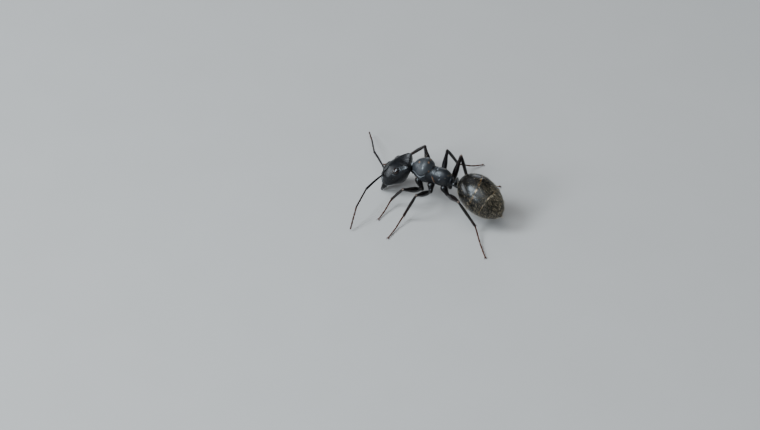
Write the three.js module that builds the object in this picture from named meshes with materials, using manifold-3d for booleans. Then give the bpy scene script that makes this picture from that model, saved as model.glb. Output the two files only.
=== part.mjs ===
// A black carpenter ant, a large worker, as a still life-size model.
// Millimetres and degrees. The ant faces -Y, +Z is up and +X is its left side.
// Every node is one plate or limb segment, and a thin gap parts each from the next.

import * as THREE from 'three';
import { mergeVertices } from 'three/addons/utils/BufferGeometryUtils.js';
import Module from 'manifold-3d';

// ---------------------------------------------------------------- driving dimensions

const GAP = 0.04; // clear space between neighbouring pieces
const WELD = 0.0015; // vertices closer than this are one
const LEAST_EDGE = 0.012; // edges shorter than this are smoothed away after a cut
const ROUND = 26; // facets round the head, the trunk and the gaster

// Lists of widths and depths run from front to rear in equal steps,
// and each value is multiplied by the round of an ellipse.
const TRUNK = {
  height: 3.0, // of its centre line above the floor
  length: 3.95,
  rings: 26,
  halfWidth: [0.8, 0.95, 1.06, 0.98, 0.74, 0.7, 0.82, 0.92, 0.9],
  top: [0.95, 1.38, 1.44, 1.34, 0.87, 0.87, 1.02, 0.98, 0.7],
  bottom: [0.5, 0.8, 0.9, 0.84, 0.8, 0.82, 0.86, 0.9, 0.9],
};

// The cuts that part the trunk in three, each at a place along it and leaning by an angle.
const CUTS = { shoulder: { y: -0.66, lean: -22 }, waist: { y: 0.27, lean: 22 }, reach: 6 };

const HEAD = {
  length: 3.3,
  rings: 17,
  halfWidth: [1.8, 1.36, 1.26, 1.5, 2.16],
  top: [0.76, 0.88, 0.94, 0.89, 0.64],
  bottom: [0.7, 0.8, 1.12, 0.95, 0.9],
  lobe: 0.8, // how far the rear corners reach behind the middle
  centre: [0.21, -3.22, 2.33],
  yaw: 25,
  pitch: 48.5,
  roll: -10,
};

// Places on the head are given from its centre: left, back and up.
const EYE = { place: [1.15, 0.34, 0.46], halfSize: [0.16, 0.35, 0.25], lean: 38, sides: 14, rings: 9 };

const MANDIBLE = {
  length: 1.15,
  base: 0.56,
  setBack: 0.12, // of the outer corner behind the inner one
  hook: 0.12, // how far the tip crosses inwards
  depth: 0.4,
  bevel: 0.05,
  hinge: [0.36, -1.34, -0.16],
  droop: 17,
};

const NECK = { radius: 0.3, front: [-0.12, -2.45, 0.1], rear: [0, -1.6, 0.0] };

const PETIOLE = {
  front: [0, 1.62, -0.22],
  rear: [0.08, 3.2, -0.4],
  radius: 0.25,
  scale: { place: [0, 2.26, -0.02], halfSize: [0.42, 0.2, 0.52], sides: 14, rings: 9 },
};

const GASTER = {
  front: [-0.12, 2.68, 0.54],
  length: 4.85,
  yaw: 19,
  pitch: 17,
  halfWidth: 1.6,
  halfDepth: 1.56,
  fullness: [1.05, 1.06, 1, 0.95, 0.86],
};

// Each plate ends at a share of the gaster's length on its midline, and by its lean further
// back on the left. Its front is sunk below the plate before it.
const PLATES = [
  { name: 'first', end: 0.345, lean: 0.165, rings: 5, sunk: 0.05 },
  { name: 'second', end: 0.672, lean: 0.06, rings: 4, sunk: 0.05 },
  { name: 'third', end: 0.875, lean: 0.04, rings: 4, sunk: 0.05 },
  { name: 'fourth', end: 0.955, lean: 0.03, rings: 3, sunk: 0.05 },
  { name: 'tip', end: 1, lean: 0, rings: 3, sunk: 0.02 },
];
const LEAN_STEPS = 12;

// Hips are given from the trunk's centre, for the left side.
const LEGS = {
  front: { hip: [0.45, -1.2, -0.5], coxa: 1.15, femur: 2.6, tibia: 2.25, tarsus: 2.4 },
  middle: { hip: [0.42, 0.1, -0.58], coxa: 0.85, femur: 2.8, tibia: 2.6, tarsus: 2.9 },
  hind: { hip: [0.38, 1.15, -0.55], coxa: 0.95, femur: 3.4, tibia: 3.45, tarsus: 3.8 },
};

// The bearing of each length, from straight out towards the rear, and its rise above level.
// A tarsus has only its bearing, because it comes down to the floor.
const STANCE = {
  left_front: { coxa: [66, -49], femur: [-26, 25], tibia: [-115, -57], tarsus: -6 },
  left_middle: { coxa: [25, -40], femur: [-10, 26], tibia: [-75, -70], tarsus: -5 },
  left_hind: { coxa: [62, -34], femur: [38, 29], tibia: [129, -59], tarsus: 37 },
  right_front: { coxa: [35, -22], femur: [-38, 20], tibia: [-91, -49], tarsus: -112 },
  right_middle: { coxa: [49, -30], femur: [-15, 27], tibia: [32, -56], tarsus: 36 },
  right_hind: { coxa: [62, -60], femur: [36, 77], tibia: [48, -73], tarsus: 37 },
};

const ANTENNA = { socket: [0.42, -0.98, 0.62], scape: 2.9, base: 2.1, tip: 2.0 };

// Bearing and rise of the scape, then of the funiculus's base and tip.
const FEELERS = {
  left: { scape: [-8, 5], base: [0, -14], tip: [5, -50] },
  right: { scape: [-41, -7], base: [-28, -12], tip: [-30, -16] },
};

// Radii from one end of each kind of limb to the other, and the rings along it.
const LIMBS = {
  coxa: { radii: [0.26, 0.33, 0.3, 0.25], rings: 5 },
  femur: { radii: [0.16, 0.27, 0.28, 0.26, 0.2], rings: 7 },
  tibia: { radii: [0.2, 0.25, 0.25, 0.23], rings: 5 },
  tarsus: { radii: [0.25, 0.25], rings: 5 },
  scape: { radii: [0.23, 0.25, 0.25], rings: 5 },
  base: { radii: [0.25, 0.25], rings: 4 },
  tip: { radii: [0.25, 0.25, 0.23], rings: 4 },
  neck: { radii: [NECK.radius, NECK.radius], rings: 3 },
  stalk: { radii: [PETIOLE.radius, PETIOLE.radius], rings: 3 },
};
const LIMB_SIDES = 10;
const LIMB_END = { share: 0.08, flat: 0.35 }; // the share of a limb that rounds off, and its blunt middle
const TOE_HEIGHT = 0.13; // of the toe's centre line, low enough that the floor cuts a small flat
const FLOOR = { side: 40, depth: 2 };

const CUTICLE = { color: 0x14151a, roughness: 0.34, metalness: 0 };
const DULL_CUTICLE = { color: 0x24262c, roughness: 0.5, metalness: 0 };
const LIMB_CUTICLE = { color: 0x1b1413, roughness: 0.36, metalness: 0 };
const EYE_CUTICLE = { color: 0x2a1510, roughness: 0.22, metalness: 0 };
const GASTER_CUTICLE = { color: 0x201c14, roughness: 0.38, metalness: 0 };

const SIDES = [['left', 1], ['right', -1]];

// ---------------------------------------------------------------- places and directions

const radians = THREE.MathUtils.degToRad;

// A point given from the trunk's centre, as a place above the floor.
function fromTrunk([x, y, z]) {
  return new THREE.Vector3(x, y, z + TRUNK.height);
}

// The unit direction of a bearing and a rise, for the left side (1) or the right (-1).
function heading(side, [bearing, rise]) {
  const b = radians(bearing);
  const r = radians(rise);
  return new THREE.Vector3(side * Math.cos(r) * Math.cos(b), Math.cos(r) * Math.sin(b), Math.sin(r));
}

// The point a length away in a direction.
function onwards(point, direction, length) {
  return point.clone().addScaledVector(direction, length);
}

// A smooth value between equally spaced ones, at a share of the way along them.
function along(values, share) {
  const last = values.length - 1;
  const place = THREE.MathUtils.clamp(share, 0, 1) * last;
  const i = Math.min(Math.floor(place), last - 1);
  const t = place - i;
  const [a, b] = [values[i], values[i + 1]];
  const slopeIn = (b - values[Math.max(i - 1, 0)]) / 2;
  const slopeOut = (values[Math.min(i + 2, last)] - a) / 2;
  const blend = 3 * t ** 2 - 2 * t ** 3;
  return a * (1 - blend) + b * blend
    + slopeIn * (t ** 3 - 2 * t ** 2 + t)
    + slopeOut * (t ** 3 - t ** 2);
}

// ---------------------------------------------------------------- joining and cutting

const wasm = await Module();
wasm.setup();

// Merges vertices and keeps positions only.
function welded(geometry) {
  const bare = new THREE.BufferGeometry();
  bare.setAttribute('position', geometry.getAttribute('position').clone());
  if (geometry.index) bare.setIndex(geometry.index.clone());
  return mergeVertices(bare, WELD);
}

// Every vertex moved outwards along its normal.
function grown(geometry, distance) {
  const shape = welded(geometry);
  shape.computeVertexNormals();
  const place = shape.getAttribute('position');
  const normal = shape.getAttribute('normal');
  const point = new THREE.Vector3();
  const outwards = new THREE.Vector3();
  for (let i = 0; i < place.count; i += 1) {
    outwards.fromBufferAttribute(normal, i);
    point.fromBufferAttribute(place, i).addScaledVector(outwards, distance);
    place.setXYZ(i, point.x, point.y, point.z);
  }
  return shape;
}

function toManifold(geometry) {
  const shape = welded(geometry);
  const corners = shape.index.array;
  const kept = [];
  for (let i = 0; i < corners.length; i += 3) {
    const [a, b, c] = [corners[i], corners[i + 1], corners[i + 2]];
    if (a !== b && b !== c && c !== a) kept.push(a, b, c);
  }
  return new wasm.Manifold(new wasm.Mesh({
    numProp: 3,
    vertProperties: new Float32Array(shape.getAttribute('position').array),
    triVerts: new Uint32Array(kept),
  }));
}

function fromManifold(solid) {
  const mesh = solid.simplify(LEAST_EDGE).getMesh();
  const geometry = new THREE.BufferGeometry();
  geometry.setAttribute('position', new THREE.BufferAttribute(new Float32Array(mesh.vertProperties), 3));
  geometry.setIndex(new THREE.BufferAttribute(new Uint32Array(mesh.triVerts), 1));
  geometry.computeVertexNormals();
  return geometry;
}

// The shape less each neighbour with its gap, as the largest piece that is left.
function clearOf(geometry, neighbours) {
  let solid = toManifold(geometry);
  for (const neighbour of neighbours) solid = solid.subtract(toManifold(grown(neighbour, GAP)));
  const pieces = solid.decompose();
  pieces.sort((a, b) => b.volume() - a.volume());
  return fromManifold(pieces[0]);
}

function joined(first, second) {
  return fromManifold(toManifold(first).add(toManifold(second)));
}

// ---------------------------------------------------------------- kinds of shape

// A body lengthways on Y, whose width, top and bottom follow lists of values.
function fullBody({ length, rings, halfWidth, top, bottom, lobe = 0 }) {
  const geometry = new THREE.SphereGeometry(1, ROUND, rings);
  const position = geometry.getAttribute('position');
  const point = new THREE.Vector3();
  for (let i = 0; i < position.count; i += 1) {
    point.fromBufferAttribute(position, i);
    const share = (point.y + 1) / 2;
    position.setXYZ(
      i,
      point.x * along(halfWidth, share),
      point.y * length / 2 + lobe * Math.max(point.y, 0) * point.x ** 2,
      point.z * along(point.z > 0 ? top : bottom, share),
    );
  }
  return geometry;
}

function ellipsoid({ halfSize, sides, rings }) {
  return new THREE.SphereGeometry(1, sides, rings).scale(...halfSize);
}

// Turns local +Y to run from one point towards another, with local Z as near up as it can be.
function aimed(geometry, from, to) {
  const y = to.clone().sub(from).normalize();
  const x = y.clone().cross(new THREE.Vector3(0, 0, 1)).normalize();
  const z = x.clone().cross(y);
  return geometry.applyMatrix4(new THREE.Matrix4().makeBasis(x, y, z).setPosition(from));
}

// A turned shape from [distance along, radius] pairs that starts and ends on the axis.
function turned(pairs, sides) {
  const profile = pairs.map(([distance, radius]) => new THREE.Vector2(radius, distance));
  return new THREE.LatheGeometry(profile, sides);
}

// A round-ended limb from one point to another.
function limb({ radii, rings }, from, to) {
  const length = from.distanceTo(to);
  const pairs = [[0, 0]];
  for (let i = 0; i <= rings; i += 1) {
    const share = i / rings;
    const fromEnd = Math.min(share, 1 - share) / LIMB_END.share;
    const rounding = Math.sqrt(1 - Math.max(1 - fromEnd - LIMB_END.flat, 0) ** 2);
    pairs.push([share * length, along(radii, share) * rounding]);
  }
  pairs.push([length, 0]);
  return aimed(turned(pairs, LIMB_SIDES), from, to);
}

// Reverses each triangle of a geometry without an index, after a mirroring.
function turnInsideOut(geometry) {
  const place = geometry.getAttribute('position');
  const first = new THREE.Vector3();
  const last = new THREE.Vector3();
  for (let i = 0; i < place.count; i += 3) {
    first.fromBufferAttribute(place, i);
    last.fromBufferAttribute(place, i + 2);
    place.setXYZ(i, last.x, last.y, last.z);
    place.setXYZ(i + 2, first.x, first.y, first.z);
  }
}

// ---------------------------------------------------------------- the model

const ant = new THREE.Group();

function addNode(name, geometry, finish) {
  const mesh = new THREE.Mesh(geometry, new THREE.MeshStandardMaterial(finish));
  mesh.name = name;
  ant.add(mesh);
}

// ---------------------------------------------------------------- head, eyes, jaws and neck

const headFrame = new THREE.Matrix4()
  .makeRotationZ(radians(HEAD.yaw))
  .multiply(new THREE.Matrix4().makeRotationX(radians(HEAD.pitch)))
  .multiply(new THREE.Matrix4().makeRotationY(radians(HEAD.roll)))
  .setPosition(...HEAD.centre);

function makeEye(side) {
  const eye = ellipsoid(EYE);
  eye.rotateY(radians(-EYE.lean) * side);
  eye.translate(side * EYE.place[0], EYE.place[1], EYE.place[2]);
  return eye.applyMatrix4(headFrame);
}

// A triangular jaw with a curved outer edge, and a biting edge that ends in a hook.
function makeMandible(side) {
  const { length, base, setBack, hook, depth, bevel, hinge, droop } = MANDIBLE;
  const outline = new THREE.Shape();
  outline.moveTo(0, 0);
  outline.lineTo(base, setBack);
  outline.bezierCurveTo(base, -length / 2, base / 2, -0.8 * length, -hook, -length);
  outline.quadraticCurveTo(0, -0.7 * length, 0, -0.3 * length);
  outline.closePath();
  const jaw = new THREE.ExtrudeGeometry(outline, {
    depth: depth - 2 * bevel,
    bevelThickness: bevel,
    bevelSize: bevel,
    bevelSegments: 1,
    curveSegments: 5,
  });
  jaw.translate(0, 0, -depth / 2);
  jaw.rotateX(radians(droop));
  jaw.translate(hinge[0] - base / 2, hinge[1], hinge[2]);
  if (side < 0) {
    jaw.scale(-1, 1, 1);
    turnInsideOut(jaw);
  }
  return jaw.applyMatrix4(headFrame);
}

const headShape = fullBody(HEAD).applyMatrix4(headFrame);
const neckShape = limb(LIMBS.neck, fromTrunk(NECK.front), fromTrunk(NECK.rear));
const eyes = SIDES.map(([, side]) => makeEye(side));
const leftJaw = makeMandible(1);

addNode('head_capsule', clearOf(headShape, [...eyes, neckShape]), CUTICLE);
SIDES.forEach(([name], i) => addNode(`eye_${name}`, clearOf(eyes[i], []), EYE_CUTICLE));
addNode('mandible_left', clearOf(leftJaw, [headShape]), LIMB_CUTICLE);
addNode('mandible_right', clearOf(makeMandible(-1), [headShape, leftJaw]), LIMB_CUTICLE);
addNode('neck', clearOf(neckShape, []), LIMB_CUTICLE);

// ---------------------------------------------------------------- feelers

for (const [name, side] of SIDES) {
  const [x, y, z] = ANTENNA.socket;
  const feeler = FEELERS[name];
  const socket = new THREE.Vector3(side * x, y, z).applyMatrix4(headFrame);
  const elbow = onwards(socket, heading(side, feeler.scape), ANTENNA.scape);
  const bend = onwards(elbow, heading(side, feeler.base), ANTENNA.base);
  const end = onwards(bend, heading(side, feeler.tip), ANTENNA.tip);
  const scape = limb(LIMBS.scape, socket, elbow);
  const base = limb(LIMBS.base, elbow, bend);
  const tip = limb(LIMBS.tip, bend, end);
  addNode(`scape_${name}`, clearOf(scape, [headShape]), LIMB_CUTICLE);
  addNode(`funiculus_base_${name}`, clearOf(base, [scape]), LIMB_CUTICLE);
  addNode(`funiculus_tip_${name}`, clearOf(tip, [base]), LIMB_CUTICLE);
}

// ---------------------------------------------------------------- trunk

// The trunk is modelled whole and parted by two slanting cuts.
const trunkShape = fullBody(TRUNK).translate(0, 0, TRUNK.height);

// A slab that lies between two distances behind a cut, and leans with it.
function slabBehind(cut, from, to) {
  const width = CUTS.reach;
  const slab = new THREE.BoxGeometry(width, to - from, width);
  slab.translate(0, (from + to) / 2, 0);
  slab.rotateX(radians(cut.lean));
  slab.translate(0, cut.y, TRUNK.height);
  return toManifold(slab);
}

const beforeCut = (cut) => slabBehind(cut, -CUTS.reach, -GAP / 2);
const afterCut = (cut) => slabBehind(cut, GAP / 2, CUTS.reach);

const trunk = toManifold(clearOf(trunkShape, [neckShape]));
const mesothorax = trunk.intersect(afterCut(CUTS.shoulder)).intersect(beforeCut(CUTS.waist));
addNode('prothorax', fromManifold(trunk.intersect(beforeCut(CUTS.shoulder))), DULL_CUTICLE);
addNode('mesothorax', fromManifold(mesothorax), DULL_CUTICLE);
addNode('propodeum', fromManifold(trunk.intersect(afterCut(CUTS.waist))), DULL_CUTICLE);

// ---------------------------------------------------------------- gaster and petiole

const gasterAngle = (share) => Math.acos(1 - 2 * share);
const gasterRadius = (share) => Math.sin(gasterAngle(share)) * along(GASTER.fullness, share);

// One plate of the gaster, with its rings at equal angles about the gaster's axis. Each ring
// leans like the nearer border and keeps to the gaster's outline.
function gasterPlate({ end, lean, rings, sunk }, start, frontLean) {
  const from = gasterAngle(start);
  const to = gasterAngle(end);
  const pairs = [[start * GASTER.length, 0]];
  for (let i = 0; i <= rings; i += 1) {
    const share = (1 - Math.cos(from + (to - from) * i / rings)) / 2;
    const radius = gasterRadius(share) * (1 - sunk * (1 - i / rings));
    if (radius > LEAST_EDGE) pairs.push([share * GASTER.length, radius]);
  }
  pairs.push([end * GASTER.length, 0]);
  const plate = turned(pairs, ROUND);
  const position = plate.getAttribute('position');
  for (let i = 0; i < position.count; i += 1) {
    const radius = Math.hypot(position.getX(i), position.getZ(i));
    if (radius > LEAST_EDGE) {
      const share = position.getY(i) / GASTER.length;
      const ringLean = frontLean + (lean - frontLean) * (share - start) / (end - start);
      const sideways = position.getX(i) / gasterRadius(share);
      let leaning = share;
      for (let step = 0; step < LEAN_STEPS; step += 1) {
        leaning = share + ringLean * sideways * gasterRadius(leaning);
      }
      const wider = gasterRadius(leaning) / gasterRadius(share);
      position.setXYZ(i, position.getX(i) * wider, leaning * GASTER.length, position.getZ(i) * wider);
    }
  }
  return plate.scale(GASTER.halfWidth, 1, GASTER.halfDepth);
}

const gasterFront = fromTrunk(GASTER.front);
const gasterRear = onwards(gasterFront, heading(1, [90 - GASTER.yaw, -GASTER.pitch]), GASTER.length);
const plates = PLATES.map((plate, i) => {
  if (i === 0) return aimed(gasterPlate(plate, 0, 0), gasterFront, gasterRear);
  const { end, lean } = PLATES[i - 1];
  const steepness = lean * GASTER.length / GASTER.halfWidth;
  const start = end + GAP * Math.hypot(1, steepness) / GASTER.length;
  return aimed(gasterPlate(plate, start, lean), gasterFront, gasterRear);
});

const stalk = limb(LIMBS.stalk, fromTrunk(PETIOLE.front), fromTrunk(PETIOLE.rear));
const scale = ellipsoid(PETIOLE.scale).translate(...fromTrunk(PETIOLE.scale.place));
addNode('petiole', clearOf(joined(stalk, scale), [trunkShape, plates[0]]), CUTICLE);
PLATES.forEach(({ name }, i) => addNode(`gaster_${name}`, clearOf(plates[i], []), GASTER_CUTICLE));

// ---------------------------------------------------------------- legs

// The floor cuts a small flat under each foot.
const floor = new THREE.BoxGeometry(FLOOR.side, FLOOR.side, FLOOR.depth).translate(0, 0, -FLOOR.depth / 2);

for (const [sideName, side] of SIDES) {
  for (const [legName, leg] of Object.entries(LEGS)) {
    const tag = `${sideName}_${legName}`;
    const pose = STANCE[tag];
    const hip = fromTrunk([side * leg.hip[0], leg.hip[1], leg.hip[2]]);
    const heel = onwards(hip, heading(side, pose.coxa), leg.coxa);
    const knee = onwards(heel, heading(side, pose.femur), leg.femur);
    const ankle = onwards(knee, heading(side, pose.tibia), leg.tibia);
    const fall = THREE.MathUtils.radToDeg(Math.asin((ankle.z - TOE_HEIGHT) / leg.tarsus));
    const toe = onwards(ankle, heading(side, [pose.tarsus, -fall]), leg.tarsus);
    const coxa = limb(LIMBS.coxa, hip, heel);
    const femur = limb(LIMBS.femur, heel, knee);
    const tibia = limb(LIMBS.tibia, knee, ankle);
    const tarsus = limb(LIMBS.tarsus, ankle, toe);
    const foot = toManifold(clearOf(tarsus, [tibia])).subtract(toManifold(floor));
    addNode(`coxa_${tag}`, clearOf(coxa, [trunkShape]), LIMB_CUTICLE);
    addNode(`femur_${tag}`, clearOf(femur, [coxa, trunkShape]), LIMB_CUTICLE);
    addNode(`tibia_${tag}`, clearOf(tibia, [femur]), LIMB_CUTICLE);
    addNode(`tarsus_${tag}`, fromManifold(foot), LIMB_CUTICLE);
  }
}

// The origin is under the middle of the whole, on the floor.
const middle = new THREE.Box3().setFromObject(ant).getCenter(new THREE.Vector3());
ant.position.set(-middle.x, -middle.y, 0);

export default ant;
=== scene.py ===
# %% [markdown]
# # A black carpenter ant, life size
# The model is a large worker, about 13 mm from jaws to tip, standing on its six feet.
# An ant wears its skeleton outside, so it is a set of hard plates and tubes with soft
# skin in the joints, and hairs rooted in the plates. Each is made as a grid of points
# worked out with numpy, which keeps every seam and pole closed and the file short.

# %% The frame that everything is fitted to
import math
import bpy
import numpy as np
from mathutils import Matrix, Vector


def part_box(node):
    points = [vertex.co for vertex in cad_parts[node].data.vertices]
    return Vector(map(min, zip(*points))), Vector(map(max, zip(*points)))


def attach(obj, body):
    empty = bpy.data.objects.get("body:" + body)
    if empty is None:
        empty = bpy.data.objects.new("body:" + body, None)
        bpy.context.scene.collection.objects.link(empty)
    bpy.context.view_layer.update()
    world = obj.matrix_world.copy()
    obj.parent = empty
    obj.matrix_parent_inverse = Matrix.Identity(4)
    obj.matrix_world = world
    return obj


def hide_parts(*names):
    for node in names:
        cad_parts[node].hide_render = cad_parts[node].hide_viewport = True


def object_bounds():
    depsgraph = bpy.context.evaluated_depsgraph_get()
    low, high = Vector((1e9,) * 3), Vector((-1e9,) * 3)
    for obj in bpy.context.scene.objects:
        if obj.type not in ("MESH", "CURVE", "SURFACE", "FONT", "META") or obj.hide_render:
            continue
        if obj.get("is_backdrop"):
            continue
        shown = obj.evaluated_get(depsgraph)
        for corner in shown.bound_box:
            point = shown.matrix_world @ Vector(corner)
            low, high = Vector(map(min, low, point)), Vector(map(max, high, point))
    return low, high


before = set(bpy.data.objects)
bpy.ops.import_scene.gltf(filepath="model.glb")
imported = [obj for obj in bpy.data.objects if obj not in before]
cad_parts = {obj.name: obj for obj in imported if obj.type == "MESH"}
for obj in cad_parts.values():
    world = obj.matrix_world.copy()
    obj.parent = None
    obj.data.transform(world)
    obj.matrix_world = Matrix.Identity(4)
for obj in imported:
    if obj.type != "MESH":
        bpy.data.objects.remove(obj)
cad_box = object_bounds()
MM = 0.001
print("plates and limbs in the frame:", len(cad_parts))

# %% [markdown]
# ## The driving sizes
# These are the sizes of the solid model, in millimetres and degrees. Places on the trunk
# are given from its centre, 3 mm above the floor; the ant faces -Y and its left is +X.
# Lists of widths and depths run from front to rear in equal steps.

# %% Sizes of the trunk, the head and the gaster
TRUNK = {
    "height": 3.0,
    "length": 3.95,
    "half_width": [0.8, 0.95, 1.06, 0.98, 0.74, 0.7, 0.82, 0.92, 0.9],
    "top": [0.95, 1.38, 1.44, 1.34, 0.87, 0.87, 1.02, 0.98, 0.7],
    "bottom": [0.5, 0.8, 0.9, 0.84, 0.8, 0.82, 0.86, 0.9, 0.9],
}
HEAD = {
    "length": 3.3,
    "half_width": [1.8, 1.36, 1.26, 1.5, 2.16],
    "top": [0.76, 0.88, 0.94, 0.89, 0.64],
    "bottom": [0.7, 0.8, 1.12, 0.95, 0.9],
    "lobe": 0.8,
    "fullness": 2.12,
    "taper": 0.24,
    "centre": [0.21, -3.22, 2.33],
    "turns": [("Z", 25), ("X", 48.5), ("Y", -10)],
}
EYE = {"place": [1.15, 0.34, 0.46], "half_size": [0.16, 0.35, 0.25], "lean": 38}
JAW = {"length": 1.15, "base": 0.56, "hook": 0.12, "depth": 0.4, "hinge": [0.36, -1.34, -0.16],
       "droop": 17}
NECK = {"front": [-0.12, -2.45, 0.1], "rear": [0, -1.6, 0.0], "radius": 0.3}
PETIOLE = {"front": [0, 1.62, -0.22], "rear": [0.08, 3.2, -0.4],
           "scale": [0, 2.26, -0.02], "half_size": [0.42, 0.2, 0.52]}
GASTER = {
    "front": [-0.12, 2.68, 0.54],
    "length": 4.85,
    "yaw": 19,
    "pitch": 17,
    "half_width": 1.6,
    "half_depth": 1.56,
    "fullness": [1.05, 1.06, 1, 0.95, 0.86],
}
PLATE_ENDS = {"first": 0.345, "second": 0.672, "third": 0.875, "fourth": 0.955, "tip": 1.0}
PLATE_LEANS = {"first": 0.165, "second": 0.06, "third": 0.04, "fourth": 0.03, "tip": 0.0}

# %% Sizes of the legs and feelers
LEGS = {
    "front": {"hip": [0.45, -1.2, -0.5], "coxa": 1.15, "femur": 2.6, "tibia": 2.25, "tarsus": 2.4},
    "middle": {"hip": [0.42, 0.1, -0.58], "coxa": 0.85, "femur": 2.8, "tibia": 2.6, "tarsus": 2.9},
    "hind": {"hip": [0.38, 1.15, -0.55], "coxa": 0.95, "femur": 3.4, "tibia": 3.45, "tarsus": 3.8},
}
STANCE = {
    "left_front": {"coxa": [66, -49], "femur": [-26, 25], "tibia": [-115, -57], "tarsus": -6},
    "left_middle": {"coxa": [25, -40], "femur": [-10, 26], "tibia": [-75, -70], "tarsus": -5},
    "left_hind": {"coxa": [62, -34], "femur": [38, 29], "tibia": [129, -59], "tarsus": 37},
    "right_front": {"coxa": [35, -22], "femur": [-38, 20], "tibia": [-91, -49], "tarsus": -112},
    "right_middle": {"coxa": [49, -30], "femur": [-15, 27], "tibia": [32, -56], "tarsus": 36},
    "right_hind": {"coxa": [62, -60], "femur": [36, 77], "tibia": [48, -73], "tarsus": 37},
}
TOE_HEIGHT = 0.13
ANTENNA = {"socket": [0.42, -0.98, 0.62], "scape": 2.9, "base": 2.1, "tip": 2.0}
FEELERS = {
    "left": {"scape": [-8, 5], "base": [0, -14], "tip": [5, -50]},
    "right": {"scape": [-41, -7], "base": [-28, -12], "tip": [-30, -16]},
}
SIDES = {"left": 1, "right": -1}
print("legs:", ", ".join(STANCE))

# %% [markdown]
# ## Small tools for shapes
# Every shape below is a sum of soft steps and ridges on a smooth body, so a few short
# functions of whole arrays come first. The list of widths becomes a smooth curve by
# joining its values with cubics whose slopes agree where they meet.

# %% Steps, ridges and smooth lists
def unit(vectors):
    """Each vector divided by its own length."""
    return vectors / (np.linalg.norm(vectors, axis=-1, keepdims=True) + 1e-12)


def smooth(value, low, high):
    """0 below low and 1 above high, with the soft step 3t² - 2t³ between them."""
    t = np.clip((value - low) / (high - low), 0, 1)
    return t * t * (3 - 2 * t)


def ridge(distance, width):
    """A bell of height 1: e to the minus square of distance over width."""
    return np.exp(-(np.asarray(distance) / width) ** 2)


def along(values, share):
    """A smooth curve through equally spaced values: a cubic between each two of them."""
    values = np.asarray(values, float)
    last = len(values) - 1
    place = np.clip(np.asarray(share, float), 0, 1) * last
    i = np.minimum(place.astype(int), last - 1)
    t = (place - i).reshape(place.shape + (1,) * (values.ndim - 1))
    a = values[i]
    b = values[i + 1]
    slope_in = (b - values[np.maximum(i - 1, 0)]) / 2
    slope_out = (values[np.minimum(i + 2, last)] - a) / 2
    blend = 3 * t ** 2 - 2 * t ** 3
    curve = a * (1 - blend) + b * blend
    return curve + slope_in * (t ** 3 - 2 * t ** 2 + t) + slope_out * (t ** 3 - t ** 2)


def turned(*turns):
    """The matrix of several turns, each an axis and an angle in degrees."""
    matrix = np.eye(3)
    for axis, degrees in turns:
        matrix = matrix @ np.array(Matrix.Rotation(math.radians(degrees), 3, axis))
    return matrix


def heading(side, bearing, rise):
    """The unit direction of a bearing towards the rear and a rise above level, on one side."""
    b = math.radians(bearing)
    r = math.radians(rise)
    return np.array([side * math.cos(r) * math.cos(b), math.cos(r) * math.sin(b), math.sin(r)])


def from_trunk(point):
    """A place given from the trunk's centre, as one above the floor."""
    return np.array(point, float) + [0, 0, TRUNK["height"]]


def on_side(place, side):
    """A place given on the left, mirrored when the side is the right."""
    return np.array(place, float) * [side, 1, 1]


HEAD_TURN = turned(*HEAD["turns"])


def from_head(points):
    """Places given from the head's centre, turned and moved with the head."""
    return points @ HEAD_TURN.T + HEAD["centre"]


print("the head looks along", np.round(HEAD_TURN @ [0, -1, 0], 2))

# %% The step from the model's own origin to the frame's, measured on the eyes
def box_middle(node):
    """The middle of a node's box, in millimetres."""
    low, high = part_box(node)
    return (np.array(low) + np.array(high)) / 2 / MM


own_eyes = [from_head(on_side(EYE["place"], side)) for side in SIDES.values()]
frame_eyes = [box_middle(f"eye_{name}") for name in SIDES]
SHIFT = np.mean(frame_eyes, axis=0) - np.mean(own_eyes, axis=0)
print("shift in mm:", np.round(SHIFT, 3))

# %% [markdown]
# ## Skins
# A skin is a stack of closed rings. Its first and last rings are closed with a fan of
# triangles, so it is always watertight. The direction outwards comes from the cross
# product of the step round a ring and the step to the next ring, and details such as
# grooves are added by moving points along it. A skin may carry marks, numbers at each
# point that a material reads, such as where a plate's thin pale edge is. A mark that a
# skin doesn't carry counts as 0.

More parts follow.
